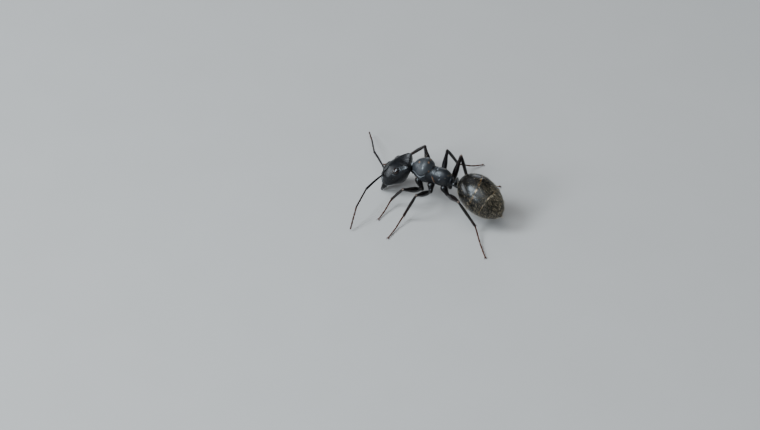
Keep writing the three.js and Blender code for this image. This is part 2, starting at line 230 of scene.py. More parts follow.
# %% The skin class
class Skin:
    """A stack of closed rings of points, with marks for the materials."""

    def __init__(self, rings, **marks):
        self.rings = rings
        self.marks = marks

    def outwards(self):
        """The unit normals: step around × step lengthways, and whether they had to be reversed."""
        around = np.roll(self.rings, -1, axis=1) - np.roll(self.rings, 1, axis=1)
        lengthways = np.gradient(self.rings, axis=0)
        normals = np.cross(around, lengthways)
        spokes = self.rings - self.rings.mean(axis=1, keepdims=True)
        sign = 1.0 if np.sum(normals * spokes) > 0 else -1.0
        return unit(normals) * sign, sign

    def raised(self, height):
        """The same skin with each point moved outwards by its height."""
        self.rings = self.rings + self.outwards()[0] * height[..., None]
        return self

    def moved(self, place):
        """The same skin carried by a function of its points."""
        self.rings = place(self.rings)
        return self

    def points(self, values):
        """Values on the rings as one list, with the mean of each end ring for its pole."""
        first = values[0].mean(axis=0, keepdims=True)
        last = values[-1].mean(axis=0, keepdims=True)
        return np.concatenate([first, values.reshape((-1,) + values.shape[2:]), last])

    def faces(self):
        """Corners of every face: their vertex numbers, the faces' sizes, and their flat places."""
        rows, columns = self.rings.shape[:2]
        i, j = np.mgrid[0:rows - 1, 0:columns]
        here = np.arange(columns)
        pole = here + 0.5
        first = here * 0
        last = first + rows - 1
        row = [np.stack([i, i, i + 1, i + 1], -1).reshape(-1, 4),
               np.stack([first - 1, first, first], -1),
               np.stack([last, last, last + 1], -1)]
        column = [np.stack([j, j + 1, j + 1, j], -1).reshape(-1, 4),
                  np.stack([pole, here + 1, here], -1),
                  np.stack([here, here + 1, pole], -1)]
        if self.outwards()[1] < 0:
            row = [r[:, ::-1] for r in row]
            column = [c[:, ::-1] for c in column]
        sizes = np.concatenate([np.full(len(r), r.shape[1]) for r in row])
        row = np.concatenate([r.ravel() for r in row])
        column = np.concatenate([c.ravel() for c in column])
        number = 1 + row * columns + column.astype(int) % columns
        number = np.where(row < 0, 0, np.where(row == rows, 1 + rows * columns, number))
        flat = np.stack([column / columns, (row + 1) / (rows + 1)], -1)
        return number, sizes, flat


def tiled(flat, number, count):
    """Flat places moved into one tile of a square sheet that has room for count tiles."""
    across = math.ceil(math.sqrt(count))
    return (np.array([number % across, number // across]) + 0.01 + 0.98 * flat) / across


# %% Putting points and faces into Blender
def fill_mesh(name, points, corners, sizes, flat, marks):
    """A mesh with smooth faces, one map of flat places and one number per point for each mark."""
    mesh = bpy.data.meshes.new(name)
    mesh.vertices.add(len(points))
    mesh.vertices.foreach_set("co", ((points + SHIFT) * MM).astype(np.float32).ravel())
    mesh.loops.add(len(corners))
    mesh.loops.foreach_set("vertex_index", corners.astype(np.int32))
    mesh.polygons.add(len(sizes))
    mesh.polygons.foreach_set("loop_start", (np.cumsum(sizes) - sizes).astype(np.int32))
    mesh.polygons.foreach_set("use_smooth", np.ones(len(sizes), dtype=bool))
    mesh.update(calc_edges=True)
    mesh.uv_layers.new(name="OFBake").data.foreach_set("uv", flat.astype(np.float32).ravel())
    for mark, values in marks.items():
        layer = mesh.attributes.new(mark, "FLOAT", "POINT")
        layer.data.foreach_set("value", values.astype(np.float32))
    print(f"{name}: {np.sum(sizes - 2)} triangles")
    return mesh


def place_piece(mesh, material, nodes):
    """An object for the mesh that rides on the ant's one body and stands for these nodes."""
    mesh.materials.append(material)
    piece = bpy.data.objects.new(mesh.name, mesh)
    bpy.context.scene.collection.objects.link(piece)
    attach(piece, "root")
    if nodes:
        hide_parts(*nodes)
    return piece


def make_piece(name, skins, material, nodes=()):
    """One piece from several skins, each with its own tile of the flat map."""
    points, corners, sizes, flat, total = [], [], [], [], 0
    mark_names = sorted({mark for skin in skins for mark in skin.marks})
    marks = {mark: [] for mark in mark_names}
    for number, skin in enumerate(skins):
        skin_points = skin.points(skin.rings)
        skin_corners, skin_sizes, skin_flat = skin.faces()
        for mark in mark_names:
            values = skin.marks.get(mark, 0) + np.zeros(skin.rings.shape[:2])
            marks[mark].append(skin.points(values))
        points.append(skin_points)
        corners.append(skin_corners + total)
        sizes.append(skin_sizes)
        flat.append(tiled(skin_flat, number, len(skins)))
        total += len(skin_points)
    marks = {mark: np.concatenate(values) for mark, values in marks.items()}
    parts = [np.concatenate(part) for part in (points, corners, sizes, flat)]
    return place_piece(fill_mesh(name, *parts, marks), material, nodes)


# %% [markdown]
# ## Tools for materials
# A material is a graph of nodes. Writing the graph as sums makes it readable: a small
# class stands for one output socket, and adding or multiplying two of them makes the
# Math node for it. Everything else goes through one method that makes any node.

# %% A socket that can be added and multiplied
class Wire:
    """One output socket, so that sums of sockets are written as sums."""

    def __init__(self, graph, socket):
        self.graph = graph
        self.socket = socket

    def __add__(self, other):
        return self.graph.maths("ADD", self, other)

    def __mul__(self, other):
        return self.graph.maths("MULTIPLY", self, other)

    __radd__ = __add__


class Graph:
    """A material and the one method that makes its nodes."""

    def __init__(self, name):
        self.material = bpy.data.materials.new(name)
        self.material.use_nodes = True
        self.tree = self.material.node_tree
        self.tree.nodes.clear()

    def node(self, kind, inputs=None, output=0, stops=None, **settings):
        """A node with its settings first, then ramp stops, then socket values and links."""
        made = self.tree.nodes.new(kind)
        for name, value in settings.items():
            setattr(made, name, value)
        for number, (position, colour) in enumerate(stops or []):
            elements = made.color_ramp.elements
            stop = elements[number] if number < len(elements) else elements.new(position)
            stop.position = position
            stop.color = (*colour, 1)
        for name, value in (inputs or {}).items():
            if isinstance(value, Wire):
                self.tree.links.new(value.socket, made.inputs[name])
            else:
                made.inputs[name].default_value = value
        return Wire(self, made.outputs[output]) if made.outputs else made

    def maths(self, operation, first, second):
        """The Math node behind every sum and product of sockets."""
        return self.node("ShaderNodeMath", {0: first, 1: second}, operation=operation)

    def mixed(self, share, first, second):
        """A colour between two: first where the share is 0, second where it is 1."""
        first, second = [c if isinstance(c, Wire) else (*c, 1) for c in (first, second)]
        return self.node("ShaderNodeMix", {0: share, 6: first, 7: second}, output=2, data_type="RGBA")

    def mark(self, name):
        """A number that the skin carries at each point."""
        return self.node("ShaderNodeAttribute", attribute_name=name, output="Fac")

    def place(self, size, turn=(0, 0, 0)):
        """The object's own coordinates, counted in patches of one size or of three, in millimetres."""
        point = self.node("ShaderNodeTexCoord", output="Object")
        scale = [1 / (part * MM) for part in np.broadcast_to(size, 3)]
        return self.node("ShaderNodeMapping", {"Vector": point, "Rotation": turn, "Scale": scale})

    def noise(self, size, detail=3.0, turn=(0, 0, 0)):
        """Soft cloudy values from 0 to 1, in patches of a size."""
        inputs = {"Vector": self.place(size, turn), "Scale": 1.0, "Detail": detail}
        return self.node("ShaderNodeTexNoise", inputs)

    def cells(self, size, feature="F1", turn=(0, 0, 0)):
        """The distance from the nearest of many scattered points, in cells of a size."""
        inputs = {"Vector": self.place(size, turn), "Scale": 1.0}
        return self.node("ShaderNodeTexVoronoi", inputs, output="Distance", feature=feature)

    def net(self, size, seam, turn=(0, 0, 0)):
        """0 on the seams of a net of cells, rising to 1 inside them over the width of a seam."""
        return self.step(self.cells(size, "DISTANCE_TO_EDGE", turn), 0.0, seam)

    def step(self, value, low, high):
        """0 below low, 1 above high and a soft step between."""
        inputs = {"Value": value, "From Min": low, "From Max": high}
        return self.node("ShaderNodeMapRange", inputs, interpolation_type="SMOOTHSTEP")

    def bump(self, height, depth_mm, under=None):
        """A normal tilted by the slope of a height that counts as so many millimetres."""
        inputs = {"Height": height, "Distance": depth_mm * MM, "Strength": 1.0}
        if under is not None:
            inputs["Normal"] = under
        return self.node("ShaderNodeBump", inputs)

    def finish(self, **sockets):
        """The surface shader, with socket names written with _ for spaces."""
        inputs = {name.replace("_", " "): value for name, value in sockets.items()}
        shader = self.node("ShaderNodeBsdfPrincipled", inputs)
        self.node("ShaderNodeOutputMaterial", {"Surface": shader})
        return self.material


# %% [markdown]
# ## The hard black skin
# An ant's cuticle is black but never a flat black: up close it is a net of tiny cells,
# it carries fine pits where hairs are rooted, and a thin waxy bloom turns it blue-grey
# where light grazes it. One recipe with a few sizes serves the head, the trunk and the
# petiole: the net and the pits are bump, the bloom is colour and roughness, and the pits
# are also painted darker as shade. A pale mark lightens some rims and edges; on the trunk
# it also paints a sheen on the top, a highlight along the shield's lower rim and a few glints.

# %% Cuticle materials
CUTICLES = {
    "head_cuticle": {"dark": (0.002, 0.002, 0.0025), "bloom": (0.004, 0.0044, 0.0056), "roughness": 0.29,
                     "cell": 0.022, "net_depth": 0.00035, "coat": 0.08, "shine": 0.26},
    "trunk_cuticle": {"dark": (0.003, 0.0033, 0.0042), "bloom": (0.007, 0.008, 0.011), "roughness": 0.4,
                      "cell": 0.026, "net_depth": 0.001, "coat": 0.15, "shine": 0.32},
    "petiole_cuticle": {"dark": (0.002, 0.002, 0.0026), "bloom": (0.005, 0.0054, 0.0066),
                        "roughness": 0.28, "cell": 0.024, "net_depth": 0.0006, "coat": 0.2, "shine": 0.4},
}
SOFT_TAN = (0.34, 0.15, 0.05)
# Colour of the pale mark: pale rims and edges, and painted sheen, highlight and glints on the trunk.
PALE_RIM_AND_PAINTED_SHEEN = (0.39, 0.405, 0.42)
GRAIN = 0.03


def make_cuticle(name, dark, bloom, roughness, cell, net_depth, coat, shine):
    """Black cuticle: net and pits in the bump; bloom patches, pits painted darker as shade and the pale mark
    in the colour.
    """
    graph = Graph(name)
    cloud = graph.noise(0.5)
    fine = graph.noise(GRAIN, 5.0)
    pits = graph.step(graph.cells(0.16), 0.04, 0.16)
    pale = graph.mark("pale")
    soft = graph.mark("soft")
    colour = graph.mixed(graph.step(cloud * 0.7 + fine * 0.3, 0.35, 0.65), dark, bloom)
    # Painted shade: the pits are painted at half the dark colour.
    colour = graph.mixed(pits, tuple(0.5 * c for c in dark), colour)
    colour = graph.mixed(soft, colour, SOFT_TAN)
    # The pale mark is partly pale rims and edges, partly painted sheen, highlight and glints.
    colour = graph.mixed(pale, colour, PALE_RIM_AND_PAINTED_SHEEN)
    normal = graph.bump(graph.net(cell, 0.22), net_depth)
    normal = graph.bump(fine, net_depth * 0.8, normal)
    normal = graph.bump(pits, net_depth * 4, normal)
    rough = cloud * 0.1 + fine * 0.08 + pale * 0.15 + soft * 0.2 + (roughness - 0.09)
    return graph.finish(Base_Color=colour, Roughness=rough, Normal=normal, Coat_Weight=coat,
                        Coat_Roughness=0.2, Specular_IOR_Level=shine)


cuticles = {name: make_cuticle(name, **recipe) for name, recipe in CUTICLES.items()}
print("cuticle finishes:", ", ".join(cuticles))

# %% [markdown]
# ## The gaster's skin
# The plates of the gaster are glossier and browner, with a thin clear amber margin that
# is broken into painted glints, and pale skin at two borders painted bright as glints. They
# lie under short golden fur. The fur lying flat is mostly streaks in the bump and in the
# colour, drawn out along the gaster; the hairs that stand clear of it are real ones.

# %% Gaster material
def make_gaster_cuticle():
    """Brown-black plates with streaks of flat fur, an amber margin broken into painted glints, and pale skin
    in the gapes painted bright as glints.
    """
    graph = Graph("gaster_cuticle")
    turn = (math.radians(GASTER["pitch"]), 0, math.radians(-GASTER["yaw"]))
    streaks = graph.noise((0.016, 0.2, 0.016), 4.0, turn)
    cloud = graph.noise(0.6)
    net = graph.net((0.04, 0.02, 0.04), 0.2, turn)
    fur = graph.mark("fur")
    down = graph.step(streaks, 0.52, 0.68) * fur
    # Painted glints: noise breaks the amber margin into glints, and the pale skin in the gapes is painted
    # bright as glints.
    glint = graph.step(graph.noise(0.2, 1.0), 0.5, 0.64)
    amber_and_glints = graph.mark("margin") * (glint * 0.8 + 0.05)
    gape = graph.mark("gape") * (glint * 0.25 + 0.7)
    colour = graph.mixed(cloud, (0.0025, 0.0022, 0.0018), (0.006, 0.0048, 0.0034))
    colour = graph.mixed(down * 0.35, colour, (0.06, 0.042, 0.02))
    colour = graph.mixed(amber_and_glints, colour, (0.5, 0.27, 0.1))
    colour = graph.mixed(gape, colour, (0.78, 0.6, 0.4))
    normal = graph.bump(net, 0.0008)
    normal = graph.bump(streaks * fur, 0.002, normal)
    rough = streaks * fur * 0.2 + cloud * 0.08 + 0.19
    return graph.finish(Base_Color=colour, Roughness=rough, Normal=normal, Coat_Weight=0.12,
                        Coat_Roughness=0.18, Specular_IOR_Level=0.31)


gaster_cuticle = make_gaster_cuticle()

# %% [markdown]
# ## Limbs, eyes, joint skin and hair
# Legs and feelers are black near the body and turn to dark mahogany and then to reddish
# brown outwards, so each carries a mark for how far out it is. The eye is dark brown and
# clear coated. The skin in the joints is tan and wrinkled. Hair is a pale gold that is
# darker at its root.

# %% Limb, eye, joint and hair materials
def make_limb_cuticle():
    """Black to red-brown with the outer mark, streaked along, with a fine net in the bump."""
    graph = Graph("limb_cuticle")
    cloud = graph.noise(0.4)
    fine = graph.noise(GRAIN, 4.0)
    tone = graph.step(graph.mark("outer") + cloud * 0.25, 0.1, 1.15)
    stops = [(0.0, (0.0028, 0.0026, 0.003)), (0.4, (0.008, 0.004, 0.0034)), (1.0, (0.085, 0.026, 0.012))]
    colour = graph.node("ShaderNodeValToRGB", {"Fac": tone}, stops=stops)
    colour = graph.mixed(graph.step(fine, 0.5, 0.75) * 0.3, colour, (0.02, 0.015, 0.014))
    normal = graph.bump(graph.net(0.026, 0.2), 0.0006)
    normal = graph.bump(fine, 0.001, normal)
    rough = fine * 0.1 + cloud * 0.08 + 0.12
    return graph.finish(Base_Color=colour, Roughness=rough, Normal=normal, Coat_Weight=0.06,
                        Coat_Roughness=0.08, Specular_IOR_Level=0.22)


def make_eye_coat():
    """Dark brown, redder in clouds; the grooves between facets are rougher and painted darker as shade."""
    graph = Graph("eye_coat")
    cloud = graph.noise(0.25)
    groove = graph.mark("groove")
    red = graph.step(cloud, 0.4, 0.62)
    colour = graph.mixed(red, (0.004, 0.0027, 0.0024), (0.018, 0.007, 0.004))
    # Painted shade: darker in the grooves between facets.
    colour = graph.mixed(groove * 0.6, colour, (0.003, 0.002, 0.002))
    return graph.finish(Base_Color=colour, Roughness=groove * 0.15 + 0.17, Coat_Weight=0.7,
                        Coat_Roughness=0.12, Specular_IOR_Level=0.2, Normal=graph.bump(cloud, 0.001))


def make_joint_skin():
    """Tan skin with wrinkles across it."""
    graph = Graph("joint_skin")
    cloud = graph.noise(0.15)
    folds = graph.noise((0.03, 0.012, 0.03), 4.0)
    colour = graph.mixed(cloud, (0.03, 0.018, 0.013), (0.16, 0.105, 0.075))
    return graph.finish(Base_Color=colour, Roughness=folds * 0.3 + 0.35, Normal=graph.bump(folds, 0.006))


def make_hair(name, root_colour, tip_colour):
    """Hair that is darker at its root, with a little change of tone from tuft to tuft."""
    graph = Graph(name)
    tone = graph.noise(0.1)
    paleness = graph.step(graph.mark("out") + tone * 0.4, 0.1, 1.1)
    colour = graph.mixed(paleness, root_colour, tip_colour)
    normal = graph.bump(graph.noise(0.004), 0.0004)
    return graph.finish(Base_Color=colour, Roughness=tone * 0.2 + 0.3, Normal=normal)


limb_cuticle = make_limb_cuticle()
eye_coat = make_eye_coat()
joint_skin = make_joint_skin()
golden_hair = make_hair("golden_hair", (0.016, 0.012, 0.008), (0.34, 0.27, 0.165))
brown_hair = make_hair("brown_hair", (0.012, 0.009, 0.006), (0.13, 0.095, 0.058))
pale_hair = make_hair("pale_hair", (0.12, 0.08, 0.045), (0.62, 0.52, 0.37))
print("materials:", len(bpy.data.materials))

# %% [markdown]
# ## The head
# A carpenter ant's head is heart-shaped: wide and hollowed at the back, narrower at the
# mouth. Its body is the same stretched sphere as the solid's. The face's own features
# follow as heights on it: the shield above the mouth with its keel, the curved ridges
# that flank the feelers' sockets, the fine line down the forehead and the rims round the
# eyes, the neck and the mouth.

# %% A sphere stretched by lists of widths
def full_body(spec, lengthways, around, sink=1.0):
    """A sphere with its poles on Y, widened and deepened by lists, times a sinking inwards.

    A fullness n above 2 squares the rings by |cos|ⁿ + |sin|ⁿ to the power -1/n, and a taper
    narrows their top.
    """
    unit_y = -np.cos(lengthways)
    share = (unit_y + 1) / 2
    unit_x = np.sin(lengthways) * np.cos(around)
    unit_z = np.sin(lengthways) * np.sin(around)
    depth = np.where(unit_z > 0, along(spec["top"], share), along(spec["bottom"], share))
    y = unit_y * spec["length"] / 2 + spec.get("lobe", 0) * np.maximum(unit_y, 0) * unit_x ** 2
    power = spec.get("fullness", 2)
    sink = sink * (np.abs(np.cos(around)) ** power + np.abs(np.sin(around)) ** power) ** (-1 / power)
    x = unit_x * along(spec["half_width"], share) * sink * (1 - spec.get("taper", 0) * unit_z)
    return np.stack([x, y + np.zeros_like(x), unit_z * depth * sink], -1)


def circle(columns):
    """Angles round a ring, from the left side up over the top."""
    return np.linspace(0, 2 * math.pi, columns, endpoint=False)[None, :]


# %% Heights on the head
def near_line(points, start, end):
    """The distance from the straight line through two places, and how far along it."""
    direction = unit(np.subtract(end, start))
    offset = points - start
    run = offset @ direction
    return np.linalg.norm(offset - run[..., None] * direction, axis=-1), run


def face_height(points, normals):
    """The shield above the mouth, the frontal ridges, the sockets and the forehead line."""
    x, y = np.moveaxis(points, -1, 0)[:2]
    far = np.abs(x)
    face = smooth(normals[..., 2], 0.0, 0.3)
    shield_side = 0.2 + 0.62 * smooth(-y, 0.92, 1.5)
    inside = np.minimum(shield_side - far, -0.93 - y)
    shield = 0.045 * smooth(inside, 0, 0.09) - 0.03 * ridge(inside, 0.022)
    keel = 0.05 * ridge(x, 0.05) * smooth(-y, 0.95, 1.05) * smooth(y, -1.62, -1.5)
    ridge_line = 0.27 + 0.2 * smooth(y, -1.0, -0.45) - 0.07 * smooth(y, -0.4, 0.1)
    reach = smooth(y, -1.08, -0.92) * (1 - smooth(y, -0.25, 0.12))
    off = far - ridge_line
    frontal_ridge = 0.11 * reach * np.where(off > 0, ridge(off, 0.035), ridge(off, 0.11))
    away = np.hypot(far - ANTENNA["socket"][0] - 0.02, y - ANTENNA["socket"][1])
    socket = 0.035 * ridge(away - 0.17, 0.03) - 0.11 * ridge(away, 0.11)
    forehead_line = 0.02 * ridge(x, 0.018) * smooth(y, -0.85, -0.7) * (1 - smooth(y, 0.25, 0.6))
    dimple = 0.03 * ridge(np.hypot(x, y + 0.86), 0.11)
    return (shield + keel + frontal_ridge + socket - forehead_line - dimple) * face


def head_height(points, normals):
    """All the head's relief: face, rims of eyes, neck and mouth, throat line and cheeks."""
    x, y = np.moveaxis(points, -1, 0)[:2]
    far = np.abs(x)
    under = smooth(-normals[..., 2], 0.0, 0.4)
    across = turned(("Y", -EYE["lean"]))
    offset = (points * np.where(x[..., None] < 0, [-1, 1, 1], 1) - EYE["place"]) @ across
    eye = np.hypot(offset[..., 1] / EYE["half_size"][1], offset[..., 2] / EYE["half_size"][2])
    beside = smooth(offset[..., 0], -0.4, -0.15)
    eye_rim = beside * (0.008 * ridge(eye - 1.3, 0.14) - 0.03 * ridge(eye - 1.04, 0.07))
    neck_front = (from_trunk(NECK["front"]) - HEAD["centre"]) @ HEAD_TURN
    neck_rear = (from_trunk(NECK["rear"]) - HEAD["centre"]) @ HEAD_TURN
    hole, run = near_line(points, neck_front, neck_rear)
    neck_rim = smooth(run, -0.2, 0.0) * (0.03 * ridge(hole - 0.4, 0.05) - 0.05 * ridge(hole, 0.32))
    mouth = np.hypot(x / 0.42, (y + 1.05) / 0.5)
    mouth_rim = under * (0.04 * ridge(mouth - 1.05, 0.1) - 0.09 * (1 - smooth(mouth, 0.7, 1.0)))
    throat_line = under * 0.025 * ridge(x, 0.02) * smooth(y, -0.5, -0.3) * (1 - smooth(y, 0.9, 1.2))
    cheek = far - 0.62 - 0.25 * smooth(y, -1.2, -0.3)
    cheek_line = 0.02 * ridge(cheek, 0.03) * under * smooth(y, -1.4, -1.1) * (1 - smooth(y, -0.2, 0.2))
    jaw_rim = 0.03 * ridge(y + 1.42, 0.05) * smooth(far, 0.5, 0.7) * (1 - under)
    face = face_height(points, normals)
    return face + eye_rim + neck_rim + mouth_rim - throat_line + cheek_line + jaw_rim


# %% The head's skin
HEAD_GRID = (250, 340)


def make_head_skin():
    """The stretched sphere with its relief, and a little tan on the face just above the mouth."""
    lengthways = np.linspace(0.03, math.pi - 0.03, HEAD_GRID[0])[:, None]
    skin = Skin(full_body(HEAD, lengthways, circle(HEAD_GRID[1]), 0.99))
    normals = skin.outwards()[0]
    height = head_height(skin.rings, normals)
    tan_edge = ridge(skin.rings[..., 1] + 1.5, 0.03) * smooth(normals[..., 2], -0.2, 0.2)
    skin.marks = {"soft": 0.12 * tan_edge}
    return skin.raised(height).moved(from_head)


head_skin = make_head_skin()
make_piece("head_plate", [head_skin], cuticles["head_cuticle"], ["head_capsule"])

# %% [markdown]
# ## The eyes
# A compound eye is a low dome of hundreds of six-sided lenses. Adding three waves whose
# directions are 60 degrees apart gives a lattice of small domes, which is exactly how
# the lenses are packed, so the facets are real relief and not a pattern of paint.

# %% Eyes with facets
FACET = 0.03
FACET_RELIEF = 0.0007
EYE_SEAT = 0.07


def make_eye_skin(side):
    """A half-sunk ellipsoid whose pole looks outwards, raised by three waves 60 degrees apart."""
    polar = np.linspace(0.03, math.pi - 0.03, 170)[:, None]
    around = circle(220)
    size = EYE["half_size"]
    rings = np.stack([size[0] * 1.06 * np.cos(polar) + 0 * around,
                      size[1] * np.sin(polar) * np.cos(around),
                      size[2] * np.sin(polar) * np.sin(around)], -1)
    flat_y = size[1] * polar * np.cos(around)
    flat_z = size[2] * polar * np.sin(around)
    turns_per_mm = 2 * math.pi / (FACET * 0.87)
    waves = 0
    for angle in np.radians([0, 60, 120]):
        waves = waves + np.cos(turns_per_mm * (flat_y * np.cos(angle) + flat_z * np.sin(angle)))
    dome = (waves + 1.5) / 4.5
    skin = Skin(rings, groove=1 - smooth(dome, 0.05, 0.4))
    skin.raised(FACET_RELIEF * (dome - 0.5) * (1 - smooth(polar, 1.5, 1.9)))
    turn = turned(("Y", -EYE["lean"]))
    centre = EYE["place"] - turn @ [EYE_SEAT, 0, 0]
    skin.moved(lambda points: (points @ turn.T + centre) * [side, 1, 1])
    return skin.moved(from_head)


for name, side in SIDES.items():
    make_piece(f"eye_lenses_{name}", [make_eye_skin(side)], eye_coat, [f"eye_{name}"])

# %% [markdown]
# ## The jaws
# Each mandible is a three-sided blade: a convex outer edge, and a biting edge with five
# teeth that grow towards the tip. Its rings are ellipses that run from the inner edge to
# the outer one, so the teeth are just a saw-shaped shift of the inner edge.

# %% Jaws with teeth
def bezier(points, share):
    """The curve pulled by control points, for whole arrays of shares: lines between lines."""
    share = share[..., None]
    while len(points) > 1:
        points = [a * (1 - share) + b * share for a, b in zip(points, points[1:])]
    return points[0]


JAW_TEETH = 9.2
JAW_CROSSING = 0.03


def make_jaw_skin(side):
    """Elliptic rings between an inner edge with a saw of teeth and an outer curved edge."""
    rows = np.linspace(0, 1, 190)[:, None]
    length, base, hook = JAW["length"], JAW["base"], JAW["hook"]
    outer_pull = [(base, 0.3), (base, -length / 2), (base / 2, -0.8 * length), (-hook, -length)]
    outer = bezier([np.array(point, float) for point in outer_pull], rows)
    inner_path = [(0.02, 0.2), (0, 0.0), (0.0, -0.3 * length), (-0.005, -0.5 * length),
                  (-0.04, -0.75 * length), (-hook, -length)]
    inner = along(inner_path, rows)
    bite = smooth(rows, 0.42, 0.5) * (1 - smooth(rows, 0.985, 1.0))
    saw = (rows * JAW_TEETH) % 1
    tooth = bite * (0.03 + 0.05 * rows) * saw ** 1.5
    inner = inner + np.stack([-tooth, 0 * tooth], -1)
    around = circle(64)
    middle = (inner + outer) / 2
    half = (outer - inner) / 2
    plane = middle + half * np.cos(around)[..., None]
    thick = 0.86 * JAW["depth"] * (1 - 0.7 * rows ** 1.4) * (0.75 + 0.25 * np.cos(around))
    z = thick * np.sin(around) - 0.06 * rows ** 2 * (1 - 0.5 * np.cos(around))
    skin = Skin(np.concatenate([plane, z[..., None]], -1), outer=0.1 + 0.25 * rows ** 3 + 0 * around)
    groove = ridge(np.cos(around) - 0.35, 0.1) * smooth(rows, 0.15, 0.3) * (1 - smooth(rows, 0.8, 0.95))
    skin.raised(-0.012 * groove * np.abs(np.sin(around)))
    turn = turned(("X", JAW["droop"]))
    hinge = np.array(JAW["hinge"]) - [base / 2, 0, JAW_CROSSING * (side < 0)]
    skin.moved(lambda points: (points @ turn.T + hinge) * [side, 1, 1])
    return skin.moved(from_head)


def make_limb_piece(name, skins, *nodes):
    """A piece in the finish of the limbs, which stands for these nodes."""
    make_piece(name, skins, limb_cuticle, nodes)


for name, side in SIDES.items():
    make_limb_piece(f"jaw_{name}", [make_jaw_skin(side)], f"mandible_{name}")

# %% [markdown]
# ## Tubes
# Legs, feelers, palps and claws are all tubes: a smooth path, a list of radii along it,
# and rings set square to it. A direction that lies across the whole path keeps the rings
# from twisting. The rows crowd towards both ends, where the tube rounds off.

# %% A tube along a path
def make_tube(path, radii, rows=40, columns=24, flatness=1.0, across=(0, 0, 1), end=0.06, outer=(0, 0)):
    """Rings square to a smooth path: radius list × root of 1 - (1 - distance from the end)²."""
    share = (1 - np.cos(np.linspace(0.02, math.pi - 0.02, rows))) / 2
    share = 0.55 * share + 0.45 * np.linspace(share[0], share[-1], rows)
    centre = along(path, share)
    direction = unit(np.gradient(along(path, np.linspace(0, 1, rows * 3)), axis=0))
    direction = along(direction, share)
    side = unit(np.cross(direction, across))
    up = np.cross(side, direction)
    from_end = np.minimum(share, 1 - share) / end
    rounding = np.sqrt(1 - np.clip(1 - from_end, 0, 1) ** 2)
    radius = (along(radii, share) * rounding)[:, None, None]
    around = circle(columns)[..., None]
    spokes = np.cos(around) * side[:, None] + flatness * np.sin(around) * up[:, None]
    rings = centre[:, None] + radius * spokes
    tone = (outer[0] + (outer[1] - outer[0]) * share)[:, None] + np.zeros((rows, columns))
    return Skin(rings, outer=tone)


def make_bead(centre, radius):
    """A small ball for a joint, as a tube one diameter long."""
    centre = np.asarray(centre, float)
    reach = np.array([0, 0, radius])
    path = [centre - reach, centre + reach]
    return make_tube(path, [radius, radius], 14, 20, across=(0, 1, 0), end=0.5)


# %% [markdown]
# ## The feelers
# A feeler has a long first length, the scape, on a ball in its socket, then a bent whip
# of eleven short joints. The scape bows a little and thickens towards the elbow. Every
# joint of the whip is its own tube, narrow at its base and widest near its end.

# %% Scapes and whips
JOINT_PROFILE = [0.72, 0.93, 1.0, 1.06, 0.98]


def joints_along(start, end, shares, radii, across, outer, rows=16, columns=22):
    """Short tubes one after another on a line, each narrow at its base and full at its end."""
    skins = []
    span = np.subtract(end, start)
    for i, (low, high) in enumerate(zip(shares, shares[1:])):
        size = radii[0] + (radii[1] - radii[0]) * i / max(len(shares) - 2, 1)
        path = [start + span * (low - 0.012), start + span * (low + high) / 2, start + span * high]
        profile = [size * part for part in JOINT_PROFILE]
        skins.append(make_tube(path, profile, rows, columns, across=across, end=0.12, outer=outer))
    return skins


# %% Both feelers
SCAPE_RADII = [0.085, 0.07, 0.085, 0.095, 0.1, 0.11]
SCAPE_BOW = np.array([0, 0, 0.08])
WHIP = {
    "base": {"shares": [0, 0.26, 0.42, 0.57, 0.72, 0.86, 1], "radii": (0.072, 0.078),
             "across": (0, 0, 1), "outer": (0.35, 0.5)},
    "end": {"shares": [0, 0.2, 0.4, 0.59, 0.78, 1], "radii": (0.078, 0.068),
            "across": (0, 1, 0), "outer": (0.5, 0.7)},
}


def make_scape(socket, elbow):
    """The bowed first length of a feeler, thicker towards the elbow."""
    length = elbow - socket
    path = [socket + length * s + SCAPE_BOW * math.sin(math.pi * s) for s in (0, 0.06, 0.3, 0.6, 0.85, 1)]
    return make_tube(path, SCAPE_RADII, 90, 32, end=0.025, outer=(0.1, 0.3))


feeler_skins = {}
for name, side in SIDES.items():
    feeler = FEELERS[name]
    socket = from_head(on_side(ANTENNA["socket"], side))
    elbow = socket + heading(side, *feeler["scape"]) * ANTENNA["scape"]
    bend = elbow + heading(side, *feeler["base"]) * ANTENNA["base"]
    tip = bend + heading(side, *feeler["tip"]) * ANTENNA["tip"]
    scape = make_scape(socket, elbow)
    knob = make_bead(socket + (elbow - socket) * 0.004, 0.11)
    whip_base = joints_along(elbow, bend, **WHIP["base"])
    whip_end = joints_along(bend, tip, **WHIP["end"])
    feeler_skins[name] = [scape, *whip_base, *whip_end]
    make_limb_piece(f"scape_{name}_tube", [scape, knob], f"scape_{name}")
    make_limb_piece(f"whip_base_{name}", whip_base, f"funiculus_base_{name}")
    make_limb_piece(f"whip_end_{name}", whip_end, f"funiculus_tip_{name}")

# %% [markdown]
# ## Mouth parts and the neck
# Behind the jaws hang the lip and two pairs of palps, thin jointed feelers for food. The
# neck is a ringed tube that leaves the hole at the back of the head and runs into a
# collar of the trunk.

# %% Lip and palps
PALPS = [
    {"places": [(0.2, -1.2, -0.36), (0.33, -1.02, -0.62), (0.36, -0.66, -0.86), (0.3, -0.28, -0.98)],
     "radii": [(0.035, 0.035), (0.032, 0.03), (0.028, 0.024)], "halves": [0.5, 0.5, 0.55], "outer": 0.6},
    {"places": [(0.08, -1.18, -0.4), (0.12, -1.0, -0.66), (0.13, -0.72, -0.86)],
     "radii": [(0.03, 0.028), (0.026, 0.022)], "halves": [0.5, 0.5], "outer": 0.7},
]
LIP = {"places": [(0, -1.5, -0.22), (0, -1.42, -0.4), (0, -1.2, -0.56), (0, -0.85, -0.72)],
       "radii": [0.2, 0.24, 0.26, 0.22]}
JAW_SOCKETS = [((0.56, -1.34, -0.06), 0.15), ((0.44, -1.42, 0.16), 0.1)]


